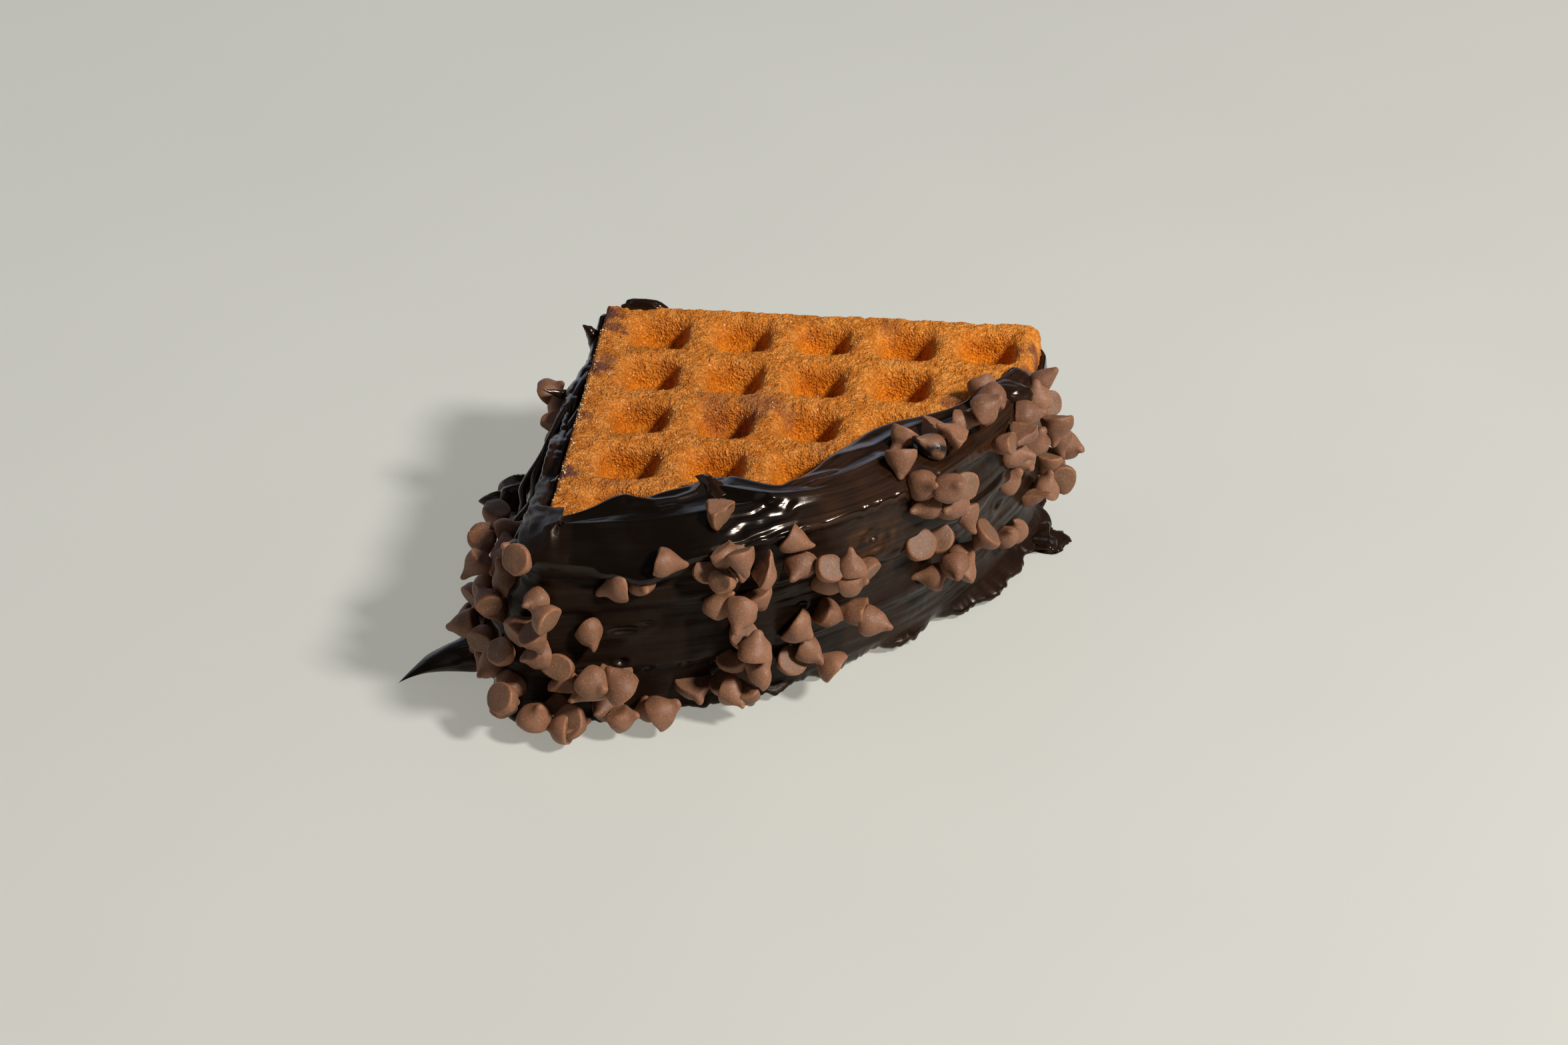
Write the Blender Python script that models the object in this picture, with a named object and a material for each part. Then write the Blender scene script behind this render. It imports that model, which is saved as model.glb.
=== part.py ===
"""A quarter of a round belgian waffle, stacked three high with chocolate spread between the layers.

The cut corner of the quarter is at the back left, and its round rim faces the front and the right. A coat of
chocolate covers all the sides, is smeared in over the rim on top, and is strewn with kiss-shaped chips.
A place is given as (across, forward, height): from the cut corner of the top layer to the right, from there
to the front, and up from the resting face. A turn is in degrees about that corner, 0 along the back edge and
90 along the left edge. The origin is on the resting face, at a rib crossing of the bottom layer.
"""

import math

import bmesh
import bpy
import numpy as np
from mathutils import Vector

MM = 0.001

# The quarter and its layers, each slid towards the cut corner by its shift
RADIUS = 84.5 * MM
LAYER = 11.6 * MM
SPREAD = 2.6 * MM
SHIFTS = {"waffle_bottom": 3.0 * MM, "waffle_middle": 1.4 * MM, "waffle_top": 0.0}
LAYER_NAMES = tuple(SHIFTS)
TOP = 3 * LAYER + 2 * SPREAD
CUT_CORNER_ROUNDING = 1.2 * MM
RIM_ROUNDING = 3.4 * MM
CUT_EDGE_ROUNDING = 0.8 * MM
CLEARANCE = 0.3 * MM
ARC_STEPS = 13
CORNER_STEPS = 3

# The pockets of the iron, whole ones only, in rows from the back edge
PITCH = 15.75 * MM
FIRST_POCKET = (11.5 * MM, 9.5 * MM)
POCKET_ROWS = (5, 4, 4, 3, 2)
POCKET_SIDES = {"waffle_bottom": 8, "waffle_top": 12}
POCKET_SQUARENESS = 3.4
# Each level of a pocket in mm: its height over the face and its half width
POCKET_LEVELS = ((0.6, 6.3), (-0.9, 5.1), (-5.6, 3.6))

# The origin's rib crossing, counted from the first one
ORIGIN_CROSSING = 1
CUT_CORNER = (
    SHIFTS["waffle_bottom"] - FIRST_POCKET[0] - (ORIGIN_CROSSING + 0.5) * PITCH,
    FIRST_POCKET[1] + (ORIGIN_CROSSING + 0.5) * PITCH - SHIFTS["waffle_bottom"],
)

# The coat of chocolate: columns round it, and how deep in the layers its lower and its upper edge end
COAT_COLUMNS = 66
COAT_CORNER = 3 * MM
USUAL_THICKNESS = 2 * MM
CORE_DEPTH = 3 * MM
LOWER_CORE = 9 * MM
UPPER_CORE = 31 * MM
SMEAR_ROOT = 0.6 * MM
BRIM_ROOT = 2.6 * MM

# The heights of the side's rows over the foot, and the coat's bulges at the seams and its slight waves
SEAMS = (LAYER + SPREAD / 2, 2 * LAYER + 1.5 * SPREAD)
SIDE_HEIGHTS = (7 * MM, SEAMS[0], 18 * MM, 22.5 * MM, SEAMS[1], 30.5 * MM)
HALFWAY = 2
SEAM_BULGE = 0.7 * MM
SEAM_HALF_HEIGHT = 1.8 * MM
WAVE = 0.35 * MM
WAVE_LENGTHS = (9 * MM, 23 * MM)
WAVE_RISES = (5 * MM, -8 * MM)

# The rows that stand on the side, and those on top, among all the rows of the coat
WALL_ROWS = slice(2, 13)
TOP_ROWS = slice(13, None)

# The edge of the foot: how far it is drawn in, how high it stands, and how much of the apron reaches there
FOOT_UNDERCUT = 0.5 * MM
FOOT_EDGE = 1.4 * MM
APRON_SHOULDER = 0.3
SHOULDER_HEIGHT = 3.4 * MM

# The smear's rows in mm: under its lip, at it, over it, and where it thins out on top
LIP_UNDERCUT = 0.3 * MM
LIP_DROP = 2.6 * MM
LIP_EDGE = 0.4 * MM
LIP_SETBACK = 0.5 * MM
RIM_ROWS = ((-0.9, -0.7, 0.7), (-3.4, 0.0, 1.0))
INNER_SHARE = 0.62
SMEAR_EDGE = (0.7 * MM, 0.8 * MM)

# The rows where the coat ends below the top edge: shares of its thickness, and mm over its brim
BRIM_ROWS = ((1.0, -4.2), (0.95, -2.6), (0.85, -1.2), (0.6, 0.0), (0.25, -0.2))
# Behind the brim: mm out from the side, and mm over the brim
BRIM_BACK_ROWS = ((-0.6, -1.2), (-1.2, -2.0), (-1.8, -2.8))

# The blur of the driving curves round the coat, and the samples it is worked out on
KNOT_SMOOTHING = 2.5 * MM
TRACK_SAMPLES = 512

# The gap behind the coat on the left side, in mm: its width at places along the edge, and its levels
GAP_WIDTHS = ((10, 0.8), (17, 1.5), (29, 2.0), (41, 1.6), (53, 1.5), (63, 1.2), (70, 0.8))
GAP_OVERLAP = 0.5
GAP_FLOOR = 22.0
GAP_HEAD = 46.0

# The chips
CHIP_RADIUS = 3.2 * MM
CHIP_HEIGHT = 5.7 * MM
CHIP_MIDDLE = 2.1 * MM
CHIP_SIDES = 6
CHIP_LEVELS = ((0.0, 1.0), (0.45, 0.74), (0.86, 0.2))
CHIP_STAND_OFF = 1.5 * MM
CHIP_SPACING = 4.9 * MM
CHIP_PUSH = 0.5 * MM
MOST_PUSHES = 9
CHIP_JITTER = 0.9 * MM
FLOOR_GAP = 0.15 * MM
SEED = 11


def world(across, forward, height):
    """The world coordinates of a place."""
    across, forward, height = np.broadcast_arrays(across, forward, height)
    return np.stack([CUT_CORNER[0] + across, CUT_CORNER[1] - forward, height], axis=-1)


def heading(turn):
    """The unit vector of a turn in radians, as (across, forward)."""
    return np.stack([np.cos(turn), np.sin(turn)], axis=-1)


def mesh_object(name, points, faces):
    """A new object of these points and faces, its faces all pointing out."""
    mesh = bpy.data.meshes.new(name)
    corners = [tuple(int(corner) for corner in face) for face in faces]
    mesh.from_pydata([tuple(point) for point in points], [], corners)
    shape = bmesh.new()
    shape.from_mesh(mesh)
    bmesh.ops.recalc_face_normals(shape, faces=shape.faces)
    shape.to_mesh(mesh)
    shape.free()
    piece = bpy.data.objects.new(name, mesh)
    bpy.context.scene.collection.objects.link(piece)
    return piece


def ring_faces(rings, columns):
    """The faces of a closed body of rings, each of so many columns, with one face across each end."""
    faces = []
    for ring in range(rings - 1):
        for column in range(columns):
            after = (column + 1) % columns
            low, high = ring * columns, (ring + 1) * columns
            faces.append((low + column, low + after, high + after, high + column))
    faces.append(range(columns))
    faces.append(range((rings - 1) * columns, rings * columns))
    return faces


def dressed(piece, material):
    """Gives the piece its material and smooth shading between its sharp edges."""
    piece.data.materials.clear()
    piece.data.materials.append(material)
    piece.data.shade_smooth()
    piece.data.set_sharp_from_angle(angle=math.radians(40))
    return piece


def finish(name, colour, roughness):
    """A Principled material of one colour."""
    material = bpy.data.materials.new(name)
    material.use_nodes = True
    shader = material.node_tree.nodes["Principled BSDF"]
    shader.inputs["Base Color"].default_value = (*colour, 1)
    shader.inputs["Roughness"].default_value = roughness
    shader.inputs["Metallic"].default_value = 0
    return material


class Track:
    """The closed outline of the quarter, clockwise seen from above, from the end of the back edge.

    It runs along the rim, the left edge and the back edge. It holds an outline drawn in by the corner's
    rounding, so that a distance out from that gives round corners. A station is a length along it.
    """

    def __init__(self, corner):
        self.corner = corner
        self.rim = RADIUS - corner
        self.lean = math.asin(corner / self.rim)
        self.arm = self.rim * math.cos(self.lean)
        drawn = corner + USUAL_THICKNESS
        quarter = math.pi / 2
        lengths = (
            (self.rim + drawn) * (quarter - 2 * self.lean),
            drawn * (quarter + self.lean),
            self.arm - corner,
            drawn * quarter,
            self.arm - corner,
            drawn * (quarter + self.lean),
        )
        self.breaks = np.concatenate([[0], np.cumsum(lengths)])
        self.length = float(self.breaks[-1])
        turns = (0, quarter - 2 * self.lean, quarter + self.lean, 0, quarter, 0, quarter + self.lean)
        self.turns = self.lean + np.cumsum(turns)

    def rim_at(self, degrees):
        """The station of a turn on the rim."""
        return float(np.interp(math.radians(degrees), self.turns[:2], self.breaks[:2]))

    def left_at(self, forward):
        """The station on the left edge so many mm from the cut corner."""
        return float(self.breaks[2] + self.arm - forward * MM)

    def back_at(self, across):
        """The station on the back edge so many mm from the cut corner."""
        return float(self.breaks[4] + across * MM - self.corner)

    def at(self, station):
        """For each station the (across, forward) point of the drawn-in outline and the unit vector out."""
        station = np.mod(station, self.length)
        turn = np.interp(station, self.breaks, self.turns)
        ends = (self.arm, self.corner, self.corner, self.corner, self.corner, self.arm, self.arm)
        starts = (self.corner, self.arm, self.arm, self.corner, self.corner, self.corner, self.corner)
        across = np.interp(station, self.breaks, ends)
        forward = np.interp(station, self.breaks, starts)
        out = heading(turn)
        on_rim = station < self.breaks[1]
        point = np.where(on_rim[:, None], self.rim * out, np.stack([across, forward], axis=-1))
        return point, out


def smooth_curve(track, knots, station):
    """The values of a curve through (station, value) knots, blurred a little, at each station."""
    places, values = np.array(sorted(knots)).T
    samples = np.arange(TRACK_SAMPLES) * track.length / TRACK_SAMPLES
    drawn = np.interp(samples, places, values, period=track.length)
    waves = 2 * math.pi * np.fft.fftfreq(TRACK_SAMPLES, track.length / TRACK_SAMPLES)
    blurred = np.fft.ifft(np.fft.fft(drawn) * np.exp(-((waves * KNOT_SMOOTHING) ** 2) / 2)).real
    return np.interp(station, samples, blurred, period=track.length)


def waffle_outline():
    """The outline of a layer as points of the drawn-in outline and unit vectors out, with few points."""
    rim = RADIUS - CUT_CORNER_ROUNDING
    lean = math.asin(CUT_CORNER_ROUNDING / rim)
    arm = rim * math.cos(lean)
    quarter = math.pi / 2
    arc = np.linspace(lean, quarter - lean, ARC_STEPS + 1)
    points, turns = list(rim * heading(arc)), list(arc)
    corners = (
        ((CUT_CORNER_ROUNDING, arm), quarter, 2 * quarter),
        ((CUT_CORNER_ROUNDING, CUT_CORNER_ROUNDING), 2 * quarter, 3 * quarter),
        ((arm, CUT_CORNER_ROUNDING), 3 * quarter, 4 * quarter),
    )
    for corner, first, last in corners:
        for turn in np.linspace(first, last, CORNER_STEPS):
            points.append(np.array(corner))
            turns.append(turn)
    return np.array(points), heading(np.array(turns))


def waffle_blank(name, bottom, top, grow):
    """A layer without pockets: rings round its outline, from the bottom edge's rounding to the top edge's."""
    points, out = waffle_outline()
    shift = SHIFTS[name]
    on_rim = np.clip(np.minimum(out[:, 0], out[:, 1]) * 4, 0, 1) * (np.arange(len(out)) <= ARC_STEPS)
    rounding = CUT_EDGE_ROUNDING + (RIM_ROUNDING - CUT_EDGE_ROUNDING) * on_rim
    rings = []
    for height, way in ((bottom, 1), (top, -1)):
        for angle in np.linspace(0, math.pi / 2, 3)[::way]:
            inset = rounding * (1 - math.sin(angle))
            rise = way * rounding * (1 - math.cos(angle))
            place = points + (CUT_CORNER_ROUNDING + grow - inset)[:, None] * out
            rings.append(world(place[:, 0] - shift, place[:, 1] - shift, height - way * grow + rise))
    return mesh_object(name, np.concatenate(rings), ring_faces(len(rings), len(out)))


def pocket_cutter(name, centre, face, way, sides, grow):
    """A tapered pocket with rounded corners, wider at its mouth. way is 1 where the face looks up."""
    turns = np.arange(sides) * 2 * math.pi / sides + math.pi / sides * (sides % 8 == 0)
    aim = heading(turns)
    square = (np.abs(aim) ** POCKET_SQUARENESS).sum(axis=1) ** (-1 / POCKET_SQUARENESS)
    rings = []
    for height, half_width in POCKET_LEVELS:
        around = centre + (half_width * MM - grow) * square[:, None] * aim
        rings.append(world(around[:, 0], around[:, 1], face + way * (height * MM + grow)))
    return mesh_object(name, np.concatenate(rings), ring_faces(len(rings), sides))


def boolean(piece, operation, others, solver="EXACT"):
    """Joins the others to the piece or cuts them from it, applies that, and removes the others."""
    group = bpy.data.collections.new(piece.name + "_" + operation.lower())
    for other in others:
        group.objects.link(other)
    step = piece.modifiers.new(operation, "BOOLEAN")
    step.operation = operation
    step.solver = solver
    step.operand_type = "COLLECTION"
    step.collection = group
    graph = bpy.context.evaluated_depsgraph_get()
    mesh = bpy.data.meshes.new_from_object(piece.evaluated_get(graph))
    piece.modifiers.clear()
    piece.data = mesh
    for other in others:
        bpy.data.objects.remove(other)
    bpy.data.collections.remove(group)
    return piece


def waffle(name, grow=0.0):
    """One layer with its pockets: on top of the top layer, and under the bottom layer."""
    level = LAYER_NAMES.index(name)
    bottom = level * (LAYER + SPREAD)
    top = bottom + LAYER
    blank = waffle_blank(name, bottom, top, grow)
    if name not in POCKET_SIDES:
        return blank
    face, way = (top, 1) if name == "waffle_top" else (bottom, -1)
    cutters = []
    for row, count in enumerate(POCKET_ROWS):
        for column in range(count):
            steps = np.array([column, row])
            centre = np.array(FIRST_POCKET) + steps * PITCH - SHIFTS[name]
            cutters.append(pocket_cutter("pocket", centre, face, way, POCKET_SIDES[name], grow))
    return boolean(blank, "DIFFERENCE", cutters)


def coat_knots(track):
    """The coat's driving sizes in mm: what it measures at named stations round the stack."""
    rim, left, back = track.rim_at, track.left_at, track.back_at
    return {
        # How thick the coat is low on the side, halfway up and near its top
        "low": (
            (rim(3.6), 2.6), (rim(11.3), 4.2), (rim(20.9), 2.4), (rim(47.7), 1.9), (rim(73.5), 2.0),
            (rim(86), 3.0), (left(80), 7.5), (left(72), 9.0), (left(57), 10.5), (left(43), 11.0),
            (left(32), 9.5), (left(19), 4.5), (left(8), 2.8), (back(8), 2.4), (back(42), 3.2),
            (back(77), 2.4),
        ),
        "middle": (
            (rim(3.6), 2.2), (rim(13.2), 3.0), (rim(30.4), 2.4), (rim(49.6), 2.2), (rim(84.1), 2.6),
            (left(80), 7.0), (left(72), 9.0), (left(58), 9.0), (left(46), 8.0), (left(33), 5.5),
            (left(20), 3.6), (left(8), 2.8), (back(8), 2.4), (back(46), 3.0), (back(77), 2.2),
        ),
        "high": (
            (rim(3.6), 1.6), (rim(15.1), 2.6), (rim(40), 2.3), (rim(68.7), 2.0), (rim(86), 2.2),
            (left(78), 5.0), (left(66), 4.6), (left(50), 4.0), (left(36), 4.0), (left(26), 4.8),
            (left(14), 3.0), (left(6), 2.4), (back(6), 2.0), (back(42), 1.8), (back(77), 1.4),
        ),
        # How far in over the top the smear reaches
        "reach": (
            (rim(4.6), 1.0), (rim(15.1), 3.0), (rim(18), 5.1), (rim(26.6), 7.8), (rim(34.3), 14.8),
            (rim(39.1), 16.2), (rim(46.7), 13.5), (rim(54.4), 10.8), (rim(59.2), 11.4),
            (rim(64.9), 18.2), (rim(68.7), 18.8), (rim(78.3), 15.9), (rim(84.1), 11.7),
            (left(77), 8.0), (left(70), 2.0),
        ),
        # 1 where the smear covers the rim, 0 where the coat stops below the top edge
        "smeared": (
            (rim(6.5), 0.0), (rim(15.1), 0.9), (rim(20.9), 1.0), (rim(85), 1.0), (left(76), 0.8),
            (left(70), 0.0), (back(79), 0.0),
        ),
        # The lip where the smear ends on the side: its height and how far out it stands
        "lip": (
            (rim(5.5), 34.0), (rim(20.9), 37.0), (rim(49.6), 38.0), (rim(61.1), 38.6),
            (rim(70.7), 37.4), (rim(78.3), 33.9), (rim(85), 36.4), (left(76), 37.5), (left(60), 35.0),
        ),
        "lip_out": (
            (rim(5.5), 1.8), (rim(20.9), 2.6), (rim(47.7), 2.4), (rim(57.3), 3.0), (rim(66.8), 3.2),
            (rim(78.3), 3.4), (left(76), 3.0), (left(60), 3.0),
        ),
        # How thick the smear lies on top, near the rim and halfway to its inner edge
        "rim_fold": (
            (rim(5.5), 0.8), (rim(20.9), 1.3), (rim(44.8), 1.2), (rim(54.4), 1.6), (rim(63), 2.8),
            (rim(68.7), 2.2), (rim(76.4), 1.0), (left(76), 1.0), (left(60), 0.8),
        ),
        "inner_fold": (
            (rim(5.5), 0.8), (rim(22.8), 1.2), (rim(40), 1.4), (rim(54.4), 1.6), (rim(64.9), 2.2),
            (rim(72.6), 1.4), (rim(82.2), 1.1), (left(76), 0.8), (left(60), 0.8),
        ),
        # How far the foot spreads, its lower edge, and the brim where nothing is smeared over the rim
        "apron": (
            (rim(3), 2.5), (rim(8), 5.0), (rim(12), 4.4), (rim(18), 3.0), (rim(23), 4.6),
            (rim(27.5), 4.2), (rim(31), 0.4), (rim(48), 0.0), (rim(58), 0.8), (rim(62), 1.6),
            (rim(68), 0.0), (rim(84), 0.4), (left(72), 1.2), (left(50), 0.5), (left(20), 0.4),
            (back(30), 0.3), (back(70), 0.6),
        ),
        "foot": (
            (rim(5.5), 0.4), (rim(30.4), 0.7), (rim(43.8), 1.2), (rim(51.5), 0.5), (rim(59.2), 1.3),
            (rim(76.4), 1.0), (rim(84.1), 0.4), (left(60), 0.2), (left(20), 0.3), (back(20), 0.5),
            (back(60), 0.9),
        ),
        "brim": (
            (rim(5.5), 34.5), (rim(20.9), 38.0), (left(78), 38.0), (left(60), 36.4), (left(40), 36.8),
            (left(24), 35.0), (left(10), 36.4), (left(2), 38.6), (back(4), 38.8), (back(14), 37.0),
            (back(45), 35.2), (back(70), 36.4),
        ),
    }


def side_row(sizes, station, height):
    """How far the side's wall stands out at a height: its thickness there, the seams' bulges and the waves."""
    halfway, upper = SIDE_HEIGHTS[HALFWAY], SIDE_HEIGHTS[-1]
    low, middle, high = sizes["low"], sizes["middle"], sizes["high"]
    if height < halfway:
        thickness = low + (middle - low) * height / halfway
    else:
        thickness = middle + (high - middle) * (height - halfway) / (upper - halfway)
    waves = [
        np.sin(station / length + height / rise) for length, rise in zip(WAVE_LENGTHS, WAVE_RISES)
    ]
    bulge = sum(SEAM_BULGE * np.exp(-(((height - seam) / SEAM_HALF_HEIGHT) ** 2)) for seam in SEAMS)
    return thickness + WAVE * waves[0] * waves[1] + bulge


def coat_rows(track, station):
    """The coat's rows from its foot up: how far each stands out from the side, and how high it is, in m."""
    sizes = {name: smooth_curve(track, knots, station) * MM for name, knots in coat_knots(track).items()}
    smeared = np.clip(sizes["smeared"] / MM, 0, 1)
    foot, brim, lip, reach = sizes["foot"], sizes["brim"], sizes["lip"], sizes["reach"]
    low, high, apron = sizes["low"], sizes["high"], sizes["apron"]
    rows = [
        (-CORE_DEPTH, foot),
        (low + apron - FOOT_UNDERCUT, foot),
        (low + apron, foot + FOOT_EDGE),
        (low + apron * APRON_SHOULDER, SHOULDER_HEIGHT),
    ]
    for height in SIDE_HEIGHTS:
        rows.append((side_row(sizes, station, height), height))
    over = [
        (high - LIP_UNDERCUT, lip - LIP_DROP),
        (sizes["lip_out"], lip - LIP_EDGE),
        (sizes["lip_out"] - LIP_SETBACK, (TOP + lip) / 2),
    ]
    over += [(out * MM, TOP + rise * MM + share * sizes["rim_fold"]) for out, rise, share in RIM_ROWS]
    over += [
        (-INNER_SHARE * reach, TOP + sizes["inner_fold"]),
        (SMEAR_EDGE[0] - reach, TOP + SMEAR_EDGE[1]),
        (-reach, TOP),
        (-SMEAR_ROOT - reach, UPPER_CORE),
    ]
    below = [(high * share, brim + rise * MM) for share, rise in BRIM_ROWS]
    below += [(out * MM, brim + rise * MM) for out, rise in BRIM_BACK_ROWS]
    below.append((-BRIM_ROOT, UPPER_CORE))
    for (out_over, height_over), (out_below, height_below) in zip(over, below):
        rows.append((
            smeared * out_over + (1 - smeared) * out_below,
            smeared * height_over + (1 - smeared) * height_below,
        ))
    out = np.array([row[0] + 0 * station for row in rows])
    height = np.array([row[1] + 0 * station for row in rows])
    return out, height


def slide_at(height):
    """How far the stack is slid towards the cut corner at a height."""
    levels = (LAYER, LAYER + SPREAD, 2 * LAYER + SPREAD, 2 * LAYER + 2 * SPREAD)
    bottom, middle, top = (SHIFTS[name] for name in LAYER_NAMES)
    return np.interp(height, levels, (bottom, middle, middle, top))


def on_side(track, station, out, height):
    """World points at a distance out from the side of the stack and a height."""
    point, away = track.at(station)
    place = point + (track.corner + out)[:, None] * away - slide_at(height)[:, None]
    return world(place[:, 0], place[:, 1], height)


def coat(track):
    """The coat and all that it encloses, closed inside the bottom and the top layer."""
    station = np.arange(COAT_COLUMNS) * track.length / COAT_COLUMNS
    out, height = coat_rows(track, station)
    rings = [on_side(track, station, row_out, row_height) for row_out, row_height in zip(out, height)]
    rings.insert(0, on_side(track, station, -2 * CORE_DEPTH + 0 * station, LOWER_CORE + 0 * station))
    points = np.concatenate(rings)
    columns = COAT_COLUMNS
    faces = ring_faces(len(rings), columns)[:-2]
    ends = [rings[0].mean(axis=0), rings[-1].mean(axis=0)]
    first, last = len(points), len(points) + 1
    base = (len(rings) - 1) * columns
    for column in range(columns):
        after = (column + 1) % columns
        faces.append((first, after, column))
        faces.append((last, base + column, base + after))
    return mesh_object("chocolate", np.concatenate([points, ends]), faces)


def spike(name, root, bend, tip, thick, flat=1.0, sides=7, steps=4):
    """A pulled peak or tail: rings along a bent line that taper from the root's radius to a point, in mm."""
    root, bend, tip = (np.array(place) * MM for place in (root, bend, tip))
    share = np.linspace(0, 0.96, steps + 1)[:, None]
    line = (1 - share) ** 2 * root + 2 * share * (1 - share) * bend + share**2 * tip
    along = 2 * (1 - share) * (bend - root) + 2 * share * (tip - bend)
    side = np.cross(along, (0, 0, 1.0))
    side /= np.linalg.norm(side, axis=1, keepdims=True)
    rise = np.cross(side, along)
    rise /= np.linalg.norm(rise, axis=1, keepdims=True)
    radius = thick * MM * (1 - share) ** 0.8
    turns = np.arange(sides) * 2 * math.pi / sides
    rings = []
    for middle, across, up, size in zip(line, side, rise, radius):
        circle = middle + size * (np.cos(turns)[:, None] * across + flat * np.sin(turns)[:, None] * up)
        circle[:, 2] = np.maximum(circle[:, 2], FLOOR_GAP)
        rings.append(world(circle[:, 0], circle[:, 1], circle[:, 2]))
    return mesh_object(name, np.concatenate(rings), ring_faces(len(rings), sides))


def lump(name, middle, radii):
    """A rounded blob of spread: an ellipsoid, kept above the resting face, in mm."""
    shape = bmesh.new()
    bmesh.ops.create_icosphere(shape, subdivisions=2, radius=1)
    middle, radii = np.array(middle) * MM, np.array(radii) * MM
    for vertex in shape.verts:
        place = middle + radii * np.array(vertex.co)
        vertex.co = world(place[0], place[1], max(place[2], FLOOR_GAP))
    mesh = bpy.data.meshes.new(name)
    shape.to_mesh(mesh)
    shape.free()
    mesh.flip_normals()
    piece = bpy.data.objects.new(name, mesh)
    bpy.context.scene.collection.objects.link(piece)
    return piece


def squeezed_out():
    """The lumps, the peaks and the tail of spread that stand out from the coat."""
    return [
        lump("left_lump", (-12.0, 25, 6.5), (7.0, 6.5, 5.5)),
        lump("corner_lump", (-7.0, 72, 10.0), (5.5, 7.5, 8.5)),
        lump("right_foot", (87.2, 15.5, 2.8), (4.2, 5.0, 3.2)),
        lump("right_fold", (78.6, 25.6, 39.4), (4.8, 3.8, 2.6)),
        lump("back_peak", (6.8, 0.6, 38.6), (5.6, 2.6, 3.4)),
        spike("tail", (-4, 66.5, 4.4), (-21, 65.5, 3.2), (-29, 74.6, 0.6), 8.6, flat=0.5, steps=6),
        spike("left_spike", (-1.5, 23, 32.0), (-5, 25, 34.0), (-8.7, 27, 36.0), 2.4),
        spike("low_spike", (-13, 26, 7.0), (-20, 28.5, 9.0), (-26.7, 30.6, 8.5), 3.4),
        spike("back_spike", (-0.6, 7, 34.0), (-2.0, 6.5, 37.4), (-4.0, 6.6, 38.8), 2.2),
        spike("curl", (30.0, 69.4, 40.4), (27.6, 66.6, 43.2), (25.0, 66.0, 43.0), 2.4),
    ]


def side_gap():
    """The gap where the coat has come away from the left side, open at the top, down to the middle layer."""
    rings = []
    heights = np.array([GAP_FLOOR, GAP_FLOOR, GAP_HEAD, GAP_HEAD]) * MM
    for forward, width in GAP_WIDTHS:
        across = np.array([-width, GAP_OVERLAP, GAP_OVERLAP, -width]) * MM
        rings.append(world(across, forward * MM, heights))
    return mesh_object("gap", np.concatenate(rings), ring_faces(len(rings), 4))


def chip_rows(track):
    """Rows of chips on the side: their height in mm, the stations of their ends, and how many."""
    rim, left, back = track.rim_at, track.left_at, track.back_at
    return (
        (4.6, rim(88.9), rim(72.6), 6), (11.5, rim(86), rim(79.8), 4), (23.0, rim(83.8), rim(83.8), 1),
        (32.8, rim(82.2), rim(78.3), 2), (38.6, rim(75.7), rim(75.7), 1),
        (38.4, rim(70.7), rim(65.9), 2), (33.6, rim(71.9), rim(63.5), 4), (26.5, rim(69.7), rim(63.4), 3),
        (18.4, rim(68.2), rim(64), 2), (12.2, rim(66.1), rim(62.8), 3), (6.4, rim(71), rim(64.5), 4),
        (37.2, rim(59.8), rim(59.8), 1), (31.0, rim(60.6), rim(52.6), 3), (25.8, rim(56.3), rim(50.5), 3),
        (17.0, rim(59.9), rim(48.2), 4), (9.6, rim(60.5), rim(52.7), 3),
        (38.2, rim(43.7), rim(38), 2), (33.6, rim(43.8), rim(34.4), 3), (25.4, rim(43.8), rim(33.2), 3),
        (18.0, rim(40.3), rim(30.4), 5),
        (37.6, rim(29.5), rim(10.3), 5), (31.2, rim(25.1), rim(8.4), 4), (25.0, rim(24.7), rim(6.5), 4),
        (15.4, rim(18), rim(7.4), 3), (9.6, rim(23.5), rim(16.1), 2),
        (5.0, left(80.5), left(58), 5), (12.0, left(80.5), left(58), 5), (19.5, left(80), left(60), 4),
        (27.0, left(80), left(62), 4), (34.5, left(78.5), left(78.5), 1), (12.0, left(44), left(32), 3),
        (31.0, left(31), left(19), 3), (10.0, left(12), left(4), 2),
        (30.5, back(6), back(68), 5), (21.0, back(14), back(74), 5), (11.0, back(5), back(66), 4),
        (4.4, back(20), back(60), 2),
    )


def top_chips(track):
    """Chips on the smear over the rim: the station, and how far in from the edge in mm."""
    rim = track.rim_at
    return (
        (rim(69.7), 2.2), (rim(46.7), 2.0), (rim(46.2), 7.5), (rim(41.4), 6.8), (rim(41), 2.0),
        (rim(37.1), 1.4), (rim(35.7), 4.5), (rim(34.3), 11.0), (rim(30.8), 5.6), (rim(26.6), 1.6),
    )


def chip_shape():
    """The points of a chip about its middle, its tip up: rings of a kiss-shaped drop, with a bent tip."""
    turns = np.arange(CHIP_SIDES) * 2 * math.pi / CHIP_SIDES
    circle = heading(turns) * CHIP_RADIUS
    rings = []
    for share, width in CHIP_LEVELS:
        height = share * CHIP_HEIGHT - CHIP_MIDDLE
        lean = 0.6 * MM * share**3
        rings.append(np.column_stack([circle * width + (lean, 0), np.full(CHIP_SIDES, height)]))
    return np.concatenate(rings)


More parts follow.
